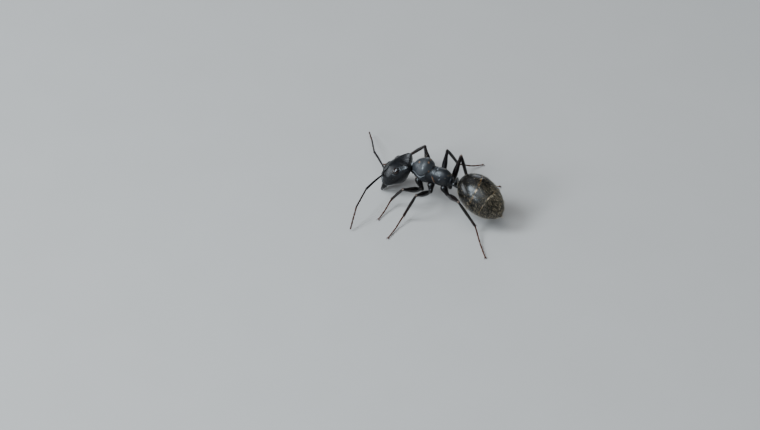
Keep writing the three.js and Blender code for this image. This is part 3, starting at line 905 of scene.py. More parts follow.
def make_palp(side, places, radii, halves, outer):
    """Two joints along each stretch of a palp, redder outwards by 0.1 on each stretch."""
    path = [from_head(on_side(place, side)) for place in places]
    skins = []
    for i, (start, end) in enumerate(zip(path, path[1:])):
        tone = (outer + 0.1 * i, outer + 0.1 * i + 0.1)
        skins += joints_along(start, end, [0, halves[i], 1], radii[i], (0, 0, 1), tone, 10, 14)
    return skins


mouth_skins = []
for side in SIDES.values():
    for palp in PALPS:
        mouth_skins += make_palp(side, **palp)
lip_path = [from_head(np.array(place)) for place in LIP["places"]]
mouth_skins.append(make_tube(lip_path, LIP["radii"], 40, 40, 0.45, HEAD_TURN @ [1, 0, 0], 0.2, (0.5, 0.7)))
for side in SIDES.values():
    for place, radius in JAW_SOCKETS:
        mouth_skins.append(make_bead(from_head(on_side(place, side)), radius))
make_limb_piece("mouth_parts", mouth_skins)

# %% The ringed neck
NECK_FOLDS = 46
neck_ends = [from_trunk(NECK["front"]), from_trunk(NECK["rear"])]
neck = make_tube(neck_ends, [0.27, 0.24, 0.25, 0.3], 90, 60, 0.92, end=0.04)
neck_rows = np.linspace(0, 1, 90)[:, None]
neck.marks["outer"] = 0.3 + 0 * neck.marks["outer"]
neck.raised(0.012 * np.sin(neck_rows * NECK_FOLDS) * smooth(neck_rows, 0.05, 0.2) + 0 * circle(60))
make_piece("neck_rings", [neck], joint_skin, ["neck"])

# %% [markdown]
# ## Plates that overlap
# The trunk and the gaster are rows of plates. The rear edge of each lies over the sunk
# front of the next, like roof tiles, and turns in with a rounded lip. One function cuts
# such a plate from a body between two border curves, and hides both its ends inside.

# %% A plate between two borders
def make_plate(body, columns, rows, front, rear, tuck=0.07, tuck_reach=0.12, lip=0.08):
    """Rings of a body from one border to the next; the front sinks inwards and both ends turn in.

    A border of None is a pole of the body.
    """
    around = circle(columns)
    share = np.linspace(0, 1, rows)
    sink = np.ones(rows)
    start = 0.02 + 0 * around if front is None else front
    stop = math.pi - 0.02 + 0 * around if rear is None else rear
    if front is not None:
        sink = 1 - tuck * (1 - smooth(share, 0, tuck_reach))
        share = np.concatenate([[0, 0], share])
        sink = np.concatenate([[1 - tuck - lip, 1 - tuck - lip / 3], sink])
    if rear is not None:
        share = np.concatenate([share, [1, 1, 1, 1]])
        sink = np.concatenate([sink, 1 - lip * np.array([0.06, 0.2, 0.5, 1])])
    share = share[:, None]
    sink = sink[:, None]
    lengthways = start + (stop - start) * share
    rings = body(lengthways, around, sink)
    return Skin(rings), lengthways, share + 0 * around


def fold(around):
    """The angle above the side, in degrees from -90 below to 90 on top, the same left and right."""
    return np.degrees(np.arcsin(np.sin(around)))


# %% [markdown]
# ## The trunk
# Three plates make the trunk. The first carries the shiny shield, whose lower rim has a
# painted highlight, a pale line along it, and the collar for the neck; the second is a narrow
# saddle above and a wide side plate below; the third is the rear hump with a slit for
# breath on each side. All three are painted paler towards the top as a sheen. The borders
# run as smooth curves of place along the trunk against the angle above the side.

# %% Borders and bodies of the trunk
FOLD_STEPS = [-90, -60, -30, 0, 30, 60, 90]
SHOULDER = [-0.98, -0.9, -0.78, -0.6, -0.28, -0.08, -0.03]
WAIST = [0.62, 0.55, 0.44, 0.28, 0.1, 0.05, 0.09]
SADDLE_OVERLAP = 0.14
HUMP_OVERLAP = 0.13


def on_fold(values, around):
    """A smooth list of values over the angle above the side, from below to on top."""
    return along(values, (fold(around) - FOLD_STEPS[0]) / (FOLD_STEPS[-1] - FOLD_STEPS[0]))


def trunk_angle(y):
    """The lengthways angle of a place along the trunk."""
    return np.arccos(np.clip(-2 * y / TRUNK["length"], -1, 1))


def trunk_body(lengthways, around, sink):
    """The trunk's stretched sphere, raised to its height."""
    return full_body(TRUNK, lengthways, around, sink) + [0, 0, TRUNK["height"]]


def trunk_places(skin, around):
    """How far along the trunk each point is, in mm, and its angle above the side."""
    return skin.rings[..., 1], fold(around) + 0 * skin.rings[..., 1]


# %% The first plate, with its shield and collar
SHIELD_PLACES = [-1.9, -1.6, -1.3, -1.0, -0.7, -0.4, -0.1]
SHIELD_RIM = [-6, 8, 10, 4, 3, 15, 34]
# Specks: the place along the trunk in mm, and the angle above the side in degrees.
SHIELD_SPECKS = [(-1.17, 68), (-0.42, 78), (-0.17, 40)]
SHIELD_GLINT = (-0.68, 43)
TRUNK_COLUMNS = 300


def speck_at(y, angle, speck_y, speck_angle):
    """A bell 0.8 high and 0.05 mm wide round one place on the trunk."""
    return 0.8 * ridge(np.hypot((y - speck_y) / 0.05, (angle - speck_angle) / 4), 1)


def make_prothorax():
    """The front of the trunk: a raised shield above a rim, a sunk side plate below it, a collar."""
    around = circle(TRUNK_COLUMNS)
    rear = trunk_angle(on_fold(SHOULDER, around))
    skin, _, share = make_plate(trunk_body, TRUNK_COLUMNS, 150, None, rear, lip=0.07)
    y, angle = trunk_places(skin, around)
    rim = along(SHIELD_RIM, (y - SHIELD_PLACES[0]) / (SHIELD_PLACES[-1] - SHIELD_PLACES[0]))
    above = np.radians(angle - rim) * 1.05
    shield = 0.05 * smooth(above, -0.02, 0.03) + 0.02 * ridge(above - 0.035, 0.03)
    under_rim = 0.05 * ridge(above + 0.08, 0.07)
    seam_line = y + 1.02 + 0.35 * (1 - np.sin(np.radians(angle)))
    shield_seam = 0.03 * ridge(seam_line, 0.025) * smooth(above, 0.05, 0.2)
    swell = 0.03 * smooth(y, -0.98, -0.7) * smooth(above, 0.1, 0.3)
    side_line = y + 1.15 + 0.012 * (angle + 20)
    side_groove = 0.03 * ridge(side_line, 0.03) * smooth(-above, 0.1, 0.2)
    collar_rim = 0.04 * ridge(y + 1.86, 0.05) - 0.05 * ridge(y + 1.78, 0.05)
    rear_lip = 0.012 * smooth(share, 0.9, 0.97)
    height = shield - under_rim - shield_seam + swell - side_groove + collar_rim + rear_lip
    # Painted light in the pale mark: a highlight along the shield's lower rim, a sheen over the shield above
    # it, and a glint.
    rim_line = smooth(above, -0.05, -0.02) * (1 - smooth(above, 0.03, 0.07))
    pale = rim_line * smooth(share, 0.05, 0.15) * (1 - 0.6 * smooth(y, -0.7, -0.3))
    pale += 0.6 * ridge(y + 1.88, 0.06) + 0.062 * smooth(above, 0.0, 0.3)
    pale += 0.6 * speck_at(y, angle, *SHIELD_GLINT)
    soft = sum(speck_at(y, angle, *place) for place in SHIELD_SPECKS)
    skin.marks = {"pale": np.clip(pale, 0, 1), "soft": soft}
    return skin.raised(height)


# %% The saddle and the rear hump
def make_mesothorax():
    """The middle plate: sunk under the shield in front, with a slanting groove down each side."""
    around = circle(TRUNK_COLUMNS)
    front = trunk_angle(on_fold(SHOULDER, around) - SADDLE_OVERLAP)
    rear = trunk_angle(on_fold(WAIST, around))
    skin, _, share = make_plate(trunk_body, TRUNK_COLUMNS, 110, front, rear, tuck=0.08, tuck_reach=0.35,
                                lip=0.07)
    y, angle = trunk_places(skin, around)
    side = 1 - smooth(np.abs(angle + 12), 30, 50)
    side_swell = 0.05 * side * np.sin(np.clip(share, 0, 1) * math.pi)
    slant = 0.045 * ridge(y + 0.42 + 0.011 * (angle + 15), 0.03) * smooth(-angle, -25, -5)
    low_groove = 0.04 * ridge(angle + 46, 5)
    hip_ledge = 0.03 * ridge(angle + 62, 9) * smooth(share, 0.3, 0.5)
    margin = 0.25 * smooth(share, 0.95, 0.99) * (1 - smooth(angle, 30, 50))
    # Pale at the rear margin, and a painted sheen that grows paler towards the top.
    skin.marks = {"pale": margin + 0.1 * smooth(angle, 10, 45)}
    return skin.raised(side_swell - slant - low_groove + hip_ledge)


def make_propodeum():
    """The rear hump: a breathing slit, a ledge over the hip, a gland's mouth, tan skin in the waist."""
    around = circle(TRUNK_COLUMNS)
    front = trunk_angle(on_fold(WAIST, around) - HUMP_OVERLAP)
    skin, _, share = make_plate(trunk_body, TRUNK_COLUMNS, 150, front, None, tuck=0.1, tuck_reach=0.13)
    y, angle = trunk_places(skin, around)
    spiracle = np.hypot((y - 0.88) / 0.07, (angle - 22) / 8)
    breathing_slit = 0.03 * ridge(spiracle - 1.4, 0.3) - 0.06 * ridge(spiracle, 0.8)
    over_hip = angle + 30 + 10 * smooth(y, 0.6, 1.6)
    hip_groove = 0.045 * ridge(over_hip - 10, 4) * smooth(y, 0.45, 0.6)
    hip_ledge = 0.04 * ridge(over_hip + 6, 7) * smooth(y, 0.5, 0.8)
    gland = np.hypot((y - 1.5) / 0.16, (angle + 24) / 11)
    gland_mouth = np.hypot((y - 1.62) / 0.05, (angle + 30) / 5)
    gland_swell = 0.05 * ridge(gland, 0.8) - 0.05 * ridge(gland_mouth, 0.8)
    waist_rim = 0.03 * ridge(y - 1.83, 0.04) - 0.03 * ridge(y - 1.75, 0.04)
    top_groove = 0.03 * ridge(y - 0.42, 0.05) * smooth(angle, 40, 60)
    height = breathing_slit - hip_groove + hip_ledge + gland_swell + waist_rim - top_groove
    low = 1 - smooth(share, 0.056, 0.072)
    patches = 0.8 + 0.2 * np.sin(np.radians(angle) * 17)
    # Painted light in the pale mark: a sheen paler towards the top and a glint; also a paler ring round the
    # slit.
    glint = np.hypot((y - 0.46) / 0.05, (angle - 80) / 5)
    painted_top_sheen = 0.018 * smooth(angle, 5, 60)
    skin.marks = {"soft": patches * low * smooth(angle, -38, -26) * (1 - smooth(angle, 12, 24)),
                  "pale": painted_top_sheen + 0.1 * ridge(spiracle - 1.3, 0.2) + 0.7 * ridge(glint, 1)}
    return skin.raised(height)


prothorax_skin = make_prothorax()
mesothorax_skin = make_mesothorax()
propodeum_skin = make_propodeum()
collar_path = [neck_ends[1] + (neck_ends[0] - neck_ends[1]) * share for share in (0, 0.2, 0.38, 0.48)]
collar = make_tube(collar_path, [0.5, 0.46, 0.4, 0.41, 0.44], 60, 90, 1.15, end=0.05)
collar_rows = np.linspace(0, 1, 60)[:, None]
collar.marks = {"pale": 0.8 * smooth(collar_rows, 0.56, 0.64)}
trunk_pieces = [("shield_plate", [prothorax_skin, collar], "prothorax"),
                ("saddle_plate", [mesothorax_skin], "mesothorax"),
                ("rear_hump", [propodeum_skin], "propodeum")]
for name, skins, node in trunk_pieces:
    make_piece(name, skins, cuticles["trunk_cuticle"], [node])

# %% [markdown]
# ## The petiole
# One thin segment with an upright scale joins trunk and gaster. The stalk is a tube with
# collars at both ends; the scale is an ellipsoid that is blunt in front, flat behind and
# drawn to an edge on top.

# %% Stalk and scale
def make_scale():
    """An upright ellipsoid, thinned towards its top edge, with a shallow hollow behind."""
    polar = np.linspace(0.04, math.pi - 0.04, 110)[:, None]
    around = circle(150)
    x = np.sin(polar) * np.cos(around)
    y = np.sin(polar) * np.sin(around)
    z = -np.cos(polar) + 0 * around
    thin = 1 - 0.45 * smooth(z, -0.4, 0.9)
    size = PETIOLE["half_size"]
    notch = 0.05 * ridge(x, 0.3) * smooth(z, 0.6, 0.9)
    rings = np.stack([size[0] * x * (1 - 0.1 * smooth(z, 0, 1)),
                      size[1] * y * thin + 0.04 * z ** 2,
                      size[2] * (z - notch)], -1)
    skin = Skin(rings)
    skin.raised(-0.02 * ridge(x, 0.35) * smooth(y, 0.3, 0.8))
    return skin.moved(lambda points: points + from_trunk(PETIOLE["scale"]))


stalk_ends = [from_trunk(PETIOLE["front"]), from_trunk(PETIOLE["rear"])]
stalk_path = [stalk_ends[0], (stalk_ends[0] * 2 + stalk_ends[1]) / 3 - [0, 0, 0.03],
              (stalk_ends[0] + stalk_ends[1] * 2) / 3, stalk_ends[1]]
stalk = make_tube(stalk_path, [0.2, 0.25, 0.2, 0.24, 0.25, 0.23, 0.17, 0.19, 0.2], 90, 60, 0.9, end=0.03)
stalk.marks = {}  # its finish reads no outer mark
scale_skin = make_scale()
make_piece("petiole_scale", [stalk, scale_skin], cuticles["petiole_cuticle"], ["petiole"])

# %% [markdown]
# ## The gaster
# Five back plates wrap round the gaster and overlap towards the tip, and under them the
# belly plates sit a step lower. The thin edge of each back plate is clear amber, broken
# into painted glints, and two borders show pale skin painted bright as glints. The
# tip ends in a small round nozzle with a fringe of hairs, from which the ant sprays.

# %% The gaster's plates
GASTER_FRONT = from_trunk(GASTER["front"])
GASTER_AIM = heading(1, 90 - GASTER["yaw"], -GASTER["pitch"])
GASTER_SIDE = unit(np.cross(GASTER_AIM, [0, 0, 1]))
GASTER_FRAME = np.array([GASTER_SIDE, GASTER_AIM, np.cross(GASTER_SIDE, GASTER_AIM)])


def gaster_body(lengthways, around, sink):
    """An ellipsoid widened by a list of fullness, aimed back and down."""
    share = (1 - np.cos(lengthways)) / 2
    ring = np.sin(lengthways) * along(GASTER["fullness"], share) * sink
    rings = np.stack([ring * np.cos(around) * GASTER["half_width"], share * GASTER["length"] + 0 * ring,
                      ring * np.sin(around) * GASTER["half_depth"]], -1)
    return rings @ GASTER_FRAME + GASTER_FRONT


LEAN_STEPS = 12


def leaning_border(name, around):
    """The lengthways angle of a plate's hind border, which lies further back on the left.

    Its share of the length is end + lean × cos × radius, where the radius belongs to that share
    itself, so the sum is repeated until it settles.
    """
    share = PLATE_ENDS[name] + 0 * around
    for _ in range(LEAN_STEPS):
        radius = 2 * np.sqrt(share * (1 - share)) * along(GASTER["fullness"], share)
        share = PLATE_ENDS[name] + PLATE_LEANS[name] * np.cos(around) * radius
    return np.arccos(1 - 2 * share)


# %% Relief and marks of the gaster's plates
GASTER_COLUMNS = 320
PLATE_ROWS = {"first": 110, "second": 110, "third": 90, "fourth": 70, "tip": 60}
TUCKS = {"first": 0.05, "second": 0.05, "third": 0.065, "fourth": 0.09, "tip": 0.05}
# Where pale skin at a border is painted bright as a glint: degrees round the ring from the left side,
# breadth, strength.
GAPE_GLINTS = {"first": [(52, 4.5, 1.0), (33, 3, 0.5)], "second": [(63, 5.5, 1.0), (31, 3, 0.5)]}
BELLY_FOLD = -40
PLATE_OVERLAP = 0.1
BORDER_WAVE = 0.02


def make_gaster_plate(number, name):
    """One back plate with its belly plate a step lower, and marks for margin, fur and the gapes' painted
    glints.
    """
    around = circle(GASTER_COLUMNS)
    angles = [0 * around] + [leaning_border(plate, around) for plate in PLATE_ENDS]
    wave = BORDER_WAVE * np.sin(around) ** 2
    front = None if number == 0 else angles[number] + wave - PLATE_OVERLAP
    rear = None if name == "tip" else angles[number + 1] + wave
    skin, lengthways, share = make_plate(gaster_body, GASTER_COLUMNS, PLATE_ROWS[name], front, rear,
                                         TUCKS[name], 0.2, lip=0.035)
    angle = fold(around) + 0 * share
    height = -0.05 * (1 - smooth(angle, BELLY_FOLD, BELLY_FOLD + 4)) - 0.03 * ridge(angle - BELLY_FOLD, 2.5)
    if rear is not None:
        from_rear = (rear - lengthways) * 2.0
        margin = 1 - smooth(from_rear, 0.035, 0.075)
        height += 0.012 * ridge(from_rear - 0.1, 0.06) - 0.014 * margin
    else:
        nozzle = lengthways - (math.pi - 0.02)
        margin = 0.25 * ridge(nozzle + 0.1, 0.05)
        height += 0.12 * ridge(nozzle, 0.09)
    fur = 0.12 + 0.88 * smooth(lengthways, 0.9, 2.2) * (0.55 + 0.6 * smooth(angle, 0, 80))
    seam = 0.25 * ridge(angle - BELLY_FOLD - 1, 2.0)
    # Painted glints: pale patches just before the rear border, at the listed angles.
    gape = 0 * share
    for place, breadth, strength in GAPE_GLINTS.get(name, []):
        gape += strength * (1 - smooth(from_rear, 0.05, 0.14)) * ridge(np.degrees(around) - place, breadth)
    skin.marks = {"margin": np.clip(0.8 * margin + seam, 0, 1), "fur": fur, "gape": np.clip(gape, 0, 1)}
    return skin.raised(height)


gaster_skins = {name: make_gaster_plate(i, name) for i, name in enumerate(PLATE_ENDS)}
for name, skin in gaster_skins.items():
    make_piece(f"gaster_plate_{name}", [skin], gaster_cuticle, [f"gaster_{name}"])

# %% [markdown]
# ## The legs
# A leg is hip, a small ring joint, thigh, shin and a foot of five joints with two claws.
# The thigh is a spindle, the shin a thin bar that widens to its spur. The foot sags on
# to the floor, so its last joints and claws lie on it. Each leg's joints follow from its
# bearings and rises, as in the solid model.

# %% Joints of one leg
def leg_joints(name):
    """Hip, heel, knee, ankle and toe: each a length on from the last, the toe down to the floor."""
    side_name, kind = name.split("_")
    side = SIDES[side_name]
    leg = LEGS[kind]
    pose = STANCE[name]
    hip = from_trunk(on_side(leg["hip"], side))
    heel = hip + heading(side, *pose["coxa"]) * leg["coxa"]
    knee = heel + heading(side, *pose["femur"]) * leg["femur"]
    ankle = knee + heading(side, *pose["tibia"]) * leg["tibia"]
    fall = math.degrees(math.asin((ankle[2] - TOE_HEIGHT) / leg["tarsus"]))
    toe = ankle + heading(side, pose["tarsus"], -fall) * leg["tarsus"]
    return hip, heel, knee, ankle, toe


def bowed(start, end, bow, shares=(0, 0.25, 0.5, 0.75, 1)):
    """Places on a line from start to end, pushed sideways most in its middle."""
    return [start + (end - start) * s + np.asarray(bow) * math.sin(math.pi * s) for s in shares]


# %% Hip, thigh and shin
THIGH_RADIUS = {"front": 0.27, "middle": 0.26, "hind": 0.26}
LEG_RADII = {
    "hip": [0.2, 0.31, 0.31, 0.25, 0.19, 0.17],
    "ring": [0.13, 0.15, 0.14, 0.12],
    "shin": [0.11, 0.095, 0.125, 0.15, 0.155, 0.15, 0.135, 0.145],
    "spur": [0.028, 0.02, 0.005],
    "claw": [0.028, 0.026, 0.018, 0.006],
    "pad": [0.03, 0.034, 0.03],
}


def make_hip(hip, heel, across):
    """The coxa: thick at the trunk and narrower at its heel."""
    path = bowed(hip, heel, [0, 0, 0.02])
    return make_tube(path, LEG_RADII["hip"], 60, 44, across=across, end=0.05, outer=(0.0, 0.1))


def make_ring_joint(heel, thigh, across):
    """The small ring between hip and thigh."""
    path = [heel - thigh * 0.1, heel + thigh * 0.08, heel + thigh * 0.24]
    return make_tube(path, LEG_RADII["ring"], 26, 32, across=across, end=0.2, outer=(0.3, 0.3))


def make_thigh(kind, heel, knee, thigh, across):
    """The femur: a spindle, redder at its end on the hind legs."""
    path = bowed(heel + thigh * 0.18, knee + thigh * 0.05, across * 0.03)
    full = THIGH_RADIUS[kind]
    radii = [0.12, 0.2, full * 0.97, full, full * 0.93, 0.19, 0.15, 0.155]
    red = 0.4 if kind == "hind" else 0.3
    return make_tube(path, radii, 100, 44, 0.92, across, 0.03, (0.05, red))


def make_shin(knee, ankle, shin, bend, across):
    """The tibia: a thin bar that starts just inside the knee and bows a little."""
    start = knee - bend * 0.03 - shin * 0.03
    path = bowed(start, ankle, bend * -0.03, (0, 0.08, 0.3, 0.6, 1))
    return make_tube(path, LEG_RADII["shin"], 90, 36, 0.88, across, 0.03, (0.15, 0.5))


def make_spur(ankle, thigh, shin, across):
    """The thin spur that stands off beside the ankle."""
    path = [ankle - shin * 0.12 + across * 0.06, ankle + shin * 0.1 + across * 0.14,
            ankle + shin * 0.26 + across * 0.13]
    return make_tube(path, LEG_RADII["spur"], 20, 12, across=thigh, end=0.1, outer=(0.7, 0.9))


# %% Foot with five joints, pad and claws
TARSUS_SHARES = [0, 0.46, 0.65, 0.78, 0.87, 0.965]
FOOT_SAG = 0.16
FOOT_LOWEST = 0.078
LONG_JOINT = [1.1, 1.1, 1.05, 1, 1.0, 1.25]
SHORT_JOINT = [0.75, 0.9, 1, 1.05, 1.22]
# Claw: ahead, to the side, share of the foot's height. Pad: ahead, share of its height.
CLAW = [(0, 0.02, 1), (0.08, 0.07, 1.1), (0.15, 0.1, 0.75), (0.19, 0.105, 0)]
CLAW_TIP_HEIGHT = 0.007
PAD = [(0.02, 0.9), (0.08, 0.5), (0.13, 0.15)]
PAD_HEIGHT = 0.036


def foot_line(ankle, toe, share):
    """The foot's line: straight from ankle to toe, sagging by a sine, and level at its end."""
    share = np.asarray(share, float)
    line = ankle + (toe - ankle) * share[..., None]
    sag = FOOT_SAG * np.sin(math.pi * np.clip(share, 0, 1)) * smooth(share, 0, 0.5)
    line[..., 2] = np.maximum(line[..., 2] - sag, FOOT_LOWEST)
    return line


def lowered(end, lift, lowest):
    """The step down from the foot's end to a share of its height, never below the lowest."""
    return np.array([0, 0, (end[2] - lowest) * (lift - 1)])


def make_foot(ankle, toe, across):
    """Five flared joints, two hooked claws and a pad between them."""
    skins = []
    for i, (low, high) in enumerate(zip(TARSUS_SHARES, TARSUS_SHARES[1:])):
        path = foot_line(ankle, toe, np.linspace(low - 0.01, high, 5))
        size = 0.066 - 0.004 * i
        profile = [size * part for part in (SHORT_JOINT if i else LONG_JOINT)]
        skins.append(make_tube(path, profile, 18 if i else 34, 20, across=across, end=0.08,
                               outer=(0.62 + 0.06 * i, 0.7 + 0.06 * i)))
    end = foot_line(ankle, toe, 0.95)
    ahead = unit(np.array([toe[0] - ankle[0], toe[1] - ankle[1], 0]))
    beside = np.cross(ahead, [0, 0, 1])
    for side in (-1, 1):
        claw = [end + ahead * a + beside * side * b + lowered(end, lift, CLAW_TIP_HEIGHT)
                for a, b, lift in CLAW]
        skins.append(make_tube(claw, LEG_RADII["claw"], 22, 12, end=0.1, outer=(0.7, 0.5)))
    pad = [end + ahead * a + lowered(end, lift, PAD_HEIGHT) for a, lift in PAD]
    skins.append(make_tube(pad, LEG_RADII["pad"], 14, 14, end=0.3, outer=(1, 1)))
    return skins


# %% All six legs
leg_skins = {}
membranes = []
for name in STANCE:
    kind = name.split("_")[1]
    hip, heel, knee, ankle, toe = leg_joints(name)
    across = unit(np.cross(knee - heel, ankle - knee))
    thigh = unit(knee - heel)
    shin = unit(ankle - knee)
    bend = unit(shin - thigh)
    coxa = make_hip(hip, heel, across)
    femur = make_thigh(kind, heel, knee, thigh, across)
    tibia = make_shin(knee, ankle, shin, bend, across)
    foot = make_foot(ankle, toe, across)
    leg_skins[name] = [coxa, femur, tibia, *foot[:5]]
    pieces = [("hip", "coxa", [coxa]),
              ("thigh", "femur", [make_ring_joint(heel, thigh, across), femur]),
              ("shin", "tibia", [tibia, make_spur(ankle, thigh, shin, across)]),
              ("foot", "tarsus", foot)]
    for part, node, skins in pieces:
        make_limb_piece(f"{part}_{name}", skins, f"{node}_{name}")
    membranes += [make_bead(heel, 0.13), make_bead(knee - bend * 0.035, 0.1), make_bead(ankle, 0.085),
                  make_bead(hip + (heel - hip) * 0.08, 0.2)]
make_piece("joint_skins", membranes, joint_skin)

# %% [markdown]
# ## Hair
# Hairs are thin three-sided spikes set in tufts. A tuft's root is picked at random, with
# more where the skin is wide or marked for fur, and its hairs lean the way the coat lies,
# backwards along each plate and outwards along each limb. The flat map gives each tuft a
# tiny patch at its root's own place on the skin's unwrap.

# %% Roots and spikes
TUFT_PATCH = 0.003
TUFT_SPREAD = 0.25


def pick_roots(skin, per_mm2, random, wanted=1.0):
    """Places on a skin by area times wanted: point, outward normal, lengthways lie, flat place."""
    p = skin.rings
    normals = skin.outwards()[0]
    beside = np.roll(p, -1, axis=1)
    area = np.linalg.norm(np.cross(beside[1:] - p[:-1], beside[:-1] - p[1:]), axis=-1) / 2
    weight = area * (wanted + np.zeros(p.shape[:2]))[:-1]
    count = int(round(per_mm2 * weight.sum()))
    reach = np.cumsum(weight.ravel())
    cell = np.minimum(np.searchsorted(reach, random.random(count) * reach[-1]), len(reach) - 1)
    i, j = np.divmod(cell, p.shape[1])
    u, v = random.random((2, count))
    point = p[i, j] + (beside[i, j] - p[i, j]) * u[:, None] + (p[i + 1, j] - p[i, j]) * v[:, None]
    lie = unit(p[i + 1, j] - p[i, j])
    flat = np.stack([(j + u) / p.shape[1], (i + v + 1) / (p.shape[0] + 1)], -1)
    return point, normals[i, j], lie, flat


class Coat:
    """Tufts gathered from several skins, made into one piece."""

    def __init__(self, name, material, tiles, bends=1):
        self.name = name
        self.material = material
        self.tiles = tiles
        self.stations = np.linspace(0, 1, bends + 2)[:-1]
        self.strands = []
        self.flats = []

    def grow(self, skin, tile, random, per_mm2, length, radius, rise, droop, tuft=3, wanted=1.0):
        """Tufts on one skin: each hair runs length × (s × direction + s² × droop towards the lie)."""
        point, normal, lie, flat = pick_roots(skin, per_mm2, random, wanted)
        count = len(point)
        if count == 0:
            return
        side = np.cross(normal, lie)
        jitter = random.normal(0, 1, (count, tuft, 3))
        shift = jitter[..., :1] * side[:, None] + jitter[..., 1:2] * lie[:, None]
        root = point[:, None] + radius * 3 * shift
        tilt = math.radians(rise) + 0.12 * jitter[..., 2:]
        fan = TUFT_SPREAD * random.normal(0, 1, (count, tuft, 1))
        flow = unit(lie[:, None] + fan * side[:, None])
        start = flow * np.cos(tilt) + normal[:, None] * np.sin(tilt)
        bend = droop * unit(flow - 0.6 * normal[:, None] * math.cos(math.radians(rise)))
        size = length * random.uniform(0.65, 1.15, (count, tuft, 1))
        root = root - normal[:, None] * radius
        s = self.stations[:, None]
        curve = s * start[:, :, None] + s ** 2 * bend[:, :, None]
        centre = root[:, :, None] + size[:, :, None] * curve
        tip = root + size * (start + bend)
        edge = unit(np.cross(start, side[:, None] + 0.01))
        other = np.cross(start, edge)
        thick = radius * (1 - 0.55 * self.stations[:, None, None])
        turn = np.radians([90, 210, 330])[:, None]
        across = np.cos(turn) * edge[:, :, None, None] + np.sin(turn) * other[:, :, None, None]
        rings = centre[:, :, :, None] + thick * across
        strand = np.concatenate([rings.reshape(count * tuft, -1, 3), tip.reshape(-1, 1, 3)], axis=1)
        place = tiled(flat, tile, self.tiles)
        slot = (np.arange(tuft) / tuft - 0.5) * TUFT_PATCH
        place = place[:, None] + np.stack([slot, slot * 0], -1)
        self.strands.append(strand)
        self.flats.append(np.concatenate([place.reshape(-1, 2), np.full((count * tuft, 1), 1 / tuft)], 1))

    def pattern(self):
        """Faces of one spike: its sides, the fan at its tip and its base, with their flat places."""
        number, sizes, flat = [], [], []
        bands = len(self.stations)
        for band in range(bands - 1):
            for k in range(3):
                low = band * 3
                number += [low + k, low + (k + 1) % 3, low + 3 + (k + 1) % 3, low + 3 + k]
                flat += [(k, band), (k + 1, band), (k + 1, band + 1), (k, band + 1)]
                sizes.append(4)
        for k in range(3):
            number += [bands * 3 - 3 + k, bands * 3 - 3 + (k + 1) % 3, bands * 3]
            flat += [(k, bands - 1), (k + 1, bands - 1), (k + 0.5, bands)]
            sizes.append(3)
        number += [0, 2, 1]
        flat += [(0, 0), (1.5, -0.5), (3, 0)]
        return np.array(number), np.array(sizes + [3]), np.array(flat) / [3, bands + 0.5]

    def finish(self):
        """One mesh of all the spikes; the out mark runs from 0 at the root to 1 at the tip."""
        strands = np.concatenate(self.strands)
        flats = np.concatenate(self.flats)
        number, sizes, pattern = self.pattern()
        count, each = strands.shape[:2]
        corners = (number[None, :] + each * np.arange(count)[:, None]).ravel()
        width = flats[:, None, 2:] * TUFT_PATCH
        flat = flats[:, None, :2] + pattern[None] * np.concatenate([width, width * 0 + TUFT_PATCH], -1)
        out = np.append(np.repeat(self.stations, 3), 1.0)
        mesh = fill_mesh(self.name, strands.reshape(-1, 3), corners, np.tile(sizes, count),
                         flat.reshape(-1, 2), {"out": np.tile(out, count)})
        return place_piece(mesh, self.material, ())


# %% [markdown]
# ## The gaster's fur
# Short golden fur lies flat on the back plates, thin on the smooth front of the first one
# and thicker towards the tip. Long pale bristles stand in a row before each plate's edge
# and are scattered over the rest, with finer ones among the fur.

# %% Fur and bristles on the gaster
GASTER_FUR = {"per_mm2": 125, "length": 0.21, "radius": 0.0027, "rise": 15, "droop": 0.13}
EDGE_BRISTLES = {"per_mm2": 22, "length": 0.36, "radius": 0.0065, "rise": 42, "droop": 0.25, "tuft": 2}
LOOSE_BRISTLES = {"per_mm2": 1.6, "length": 0.33, "radius": 0.006, "rise": 52, "droop": 0.25, "tuft": 2}
FINE_BRISTLES = {"per_mm2": 7, "length": 0.25, "radius": 0.0038, "rise": 38, "droop": 0.2}
random = np.random.default_rng(7)

for group, names in {"front": ["first"], "middle": ["second"], "rear": ["third", "fourth", "tip"]}.items():
    fur = Coat(f"gaster_fur_{group}", golden_hair, len(names))
    for tile, name in enumerate(names):
        marks = gaster_skins[name].marks
        wanted = marks["fur"] * (1 - 0.9 * marks["margin"])
        fur.grow(gaster_skins[name], tile, random, **GASTER_FUR, wanted=wanted)
    fur.finish()

bristles = Coat("gaster_bristles", pale_hair, len(gaster_skins), bends=2)
for tile, (name, skin) in enumerate(gaster_skins.items()):
    rows = np.linspace(0, 1, skin.rings.shape[0])[:, None]
    edge_row = ridge(rows - 0.9, 0.025) if name != "tip" else ridge(rows - 0.85, 0.08)
    bristles.grow(skin, tile, random, **EDGE_BRISTLES, wanted=edge_row)
    bristles.grow(skin, tile, random, **LOOSE_BRISTLES, wanted=smooth(rows, 0.2, 0.4))
    bristles.grow(skin, tile, random, **FINE_BRISTLES, wanted=skin.marks["fur"])
bristles.finish()

# %% [markdown]
# ## Hairs of the head, trunk and limbs
# Head and trunk carry a thin, very short down and a few long bristles on top. Legs and
# feelers have short hairs that lie along them, denser outwards, and the smallest of all
# are on the face and the feet.

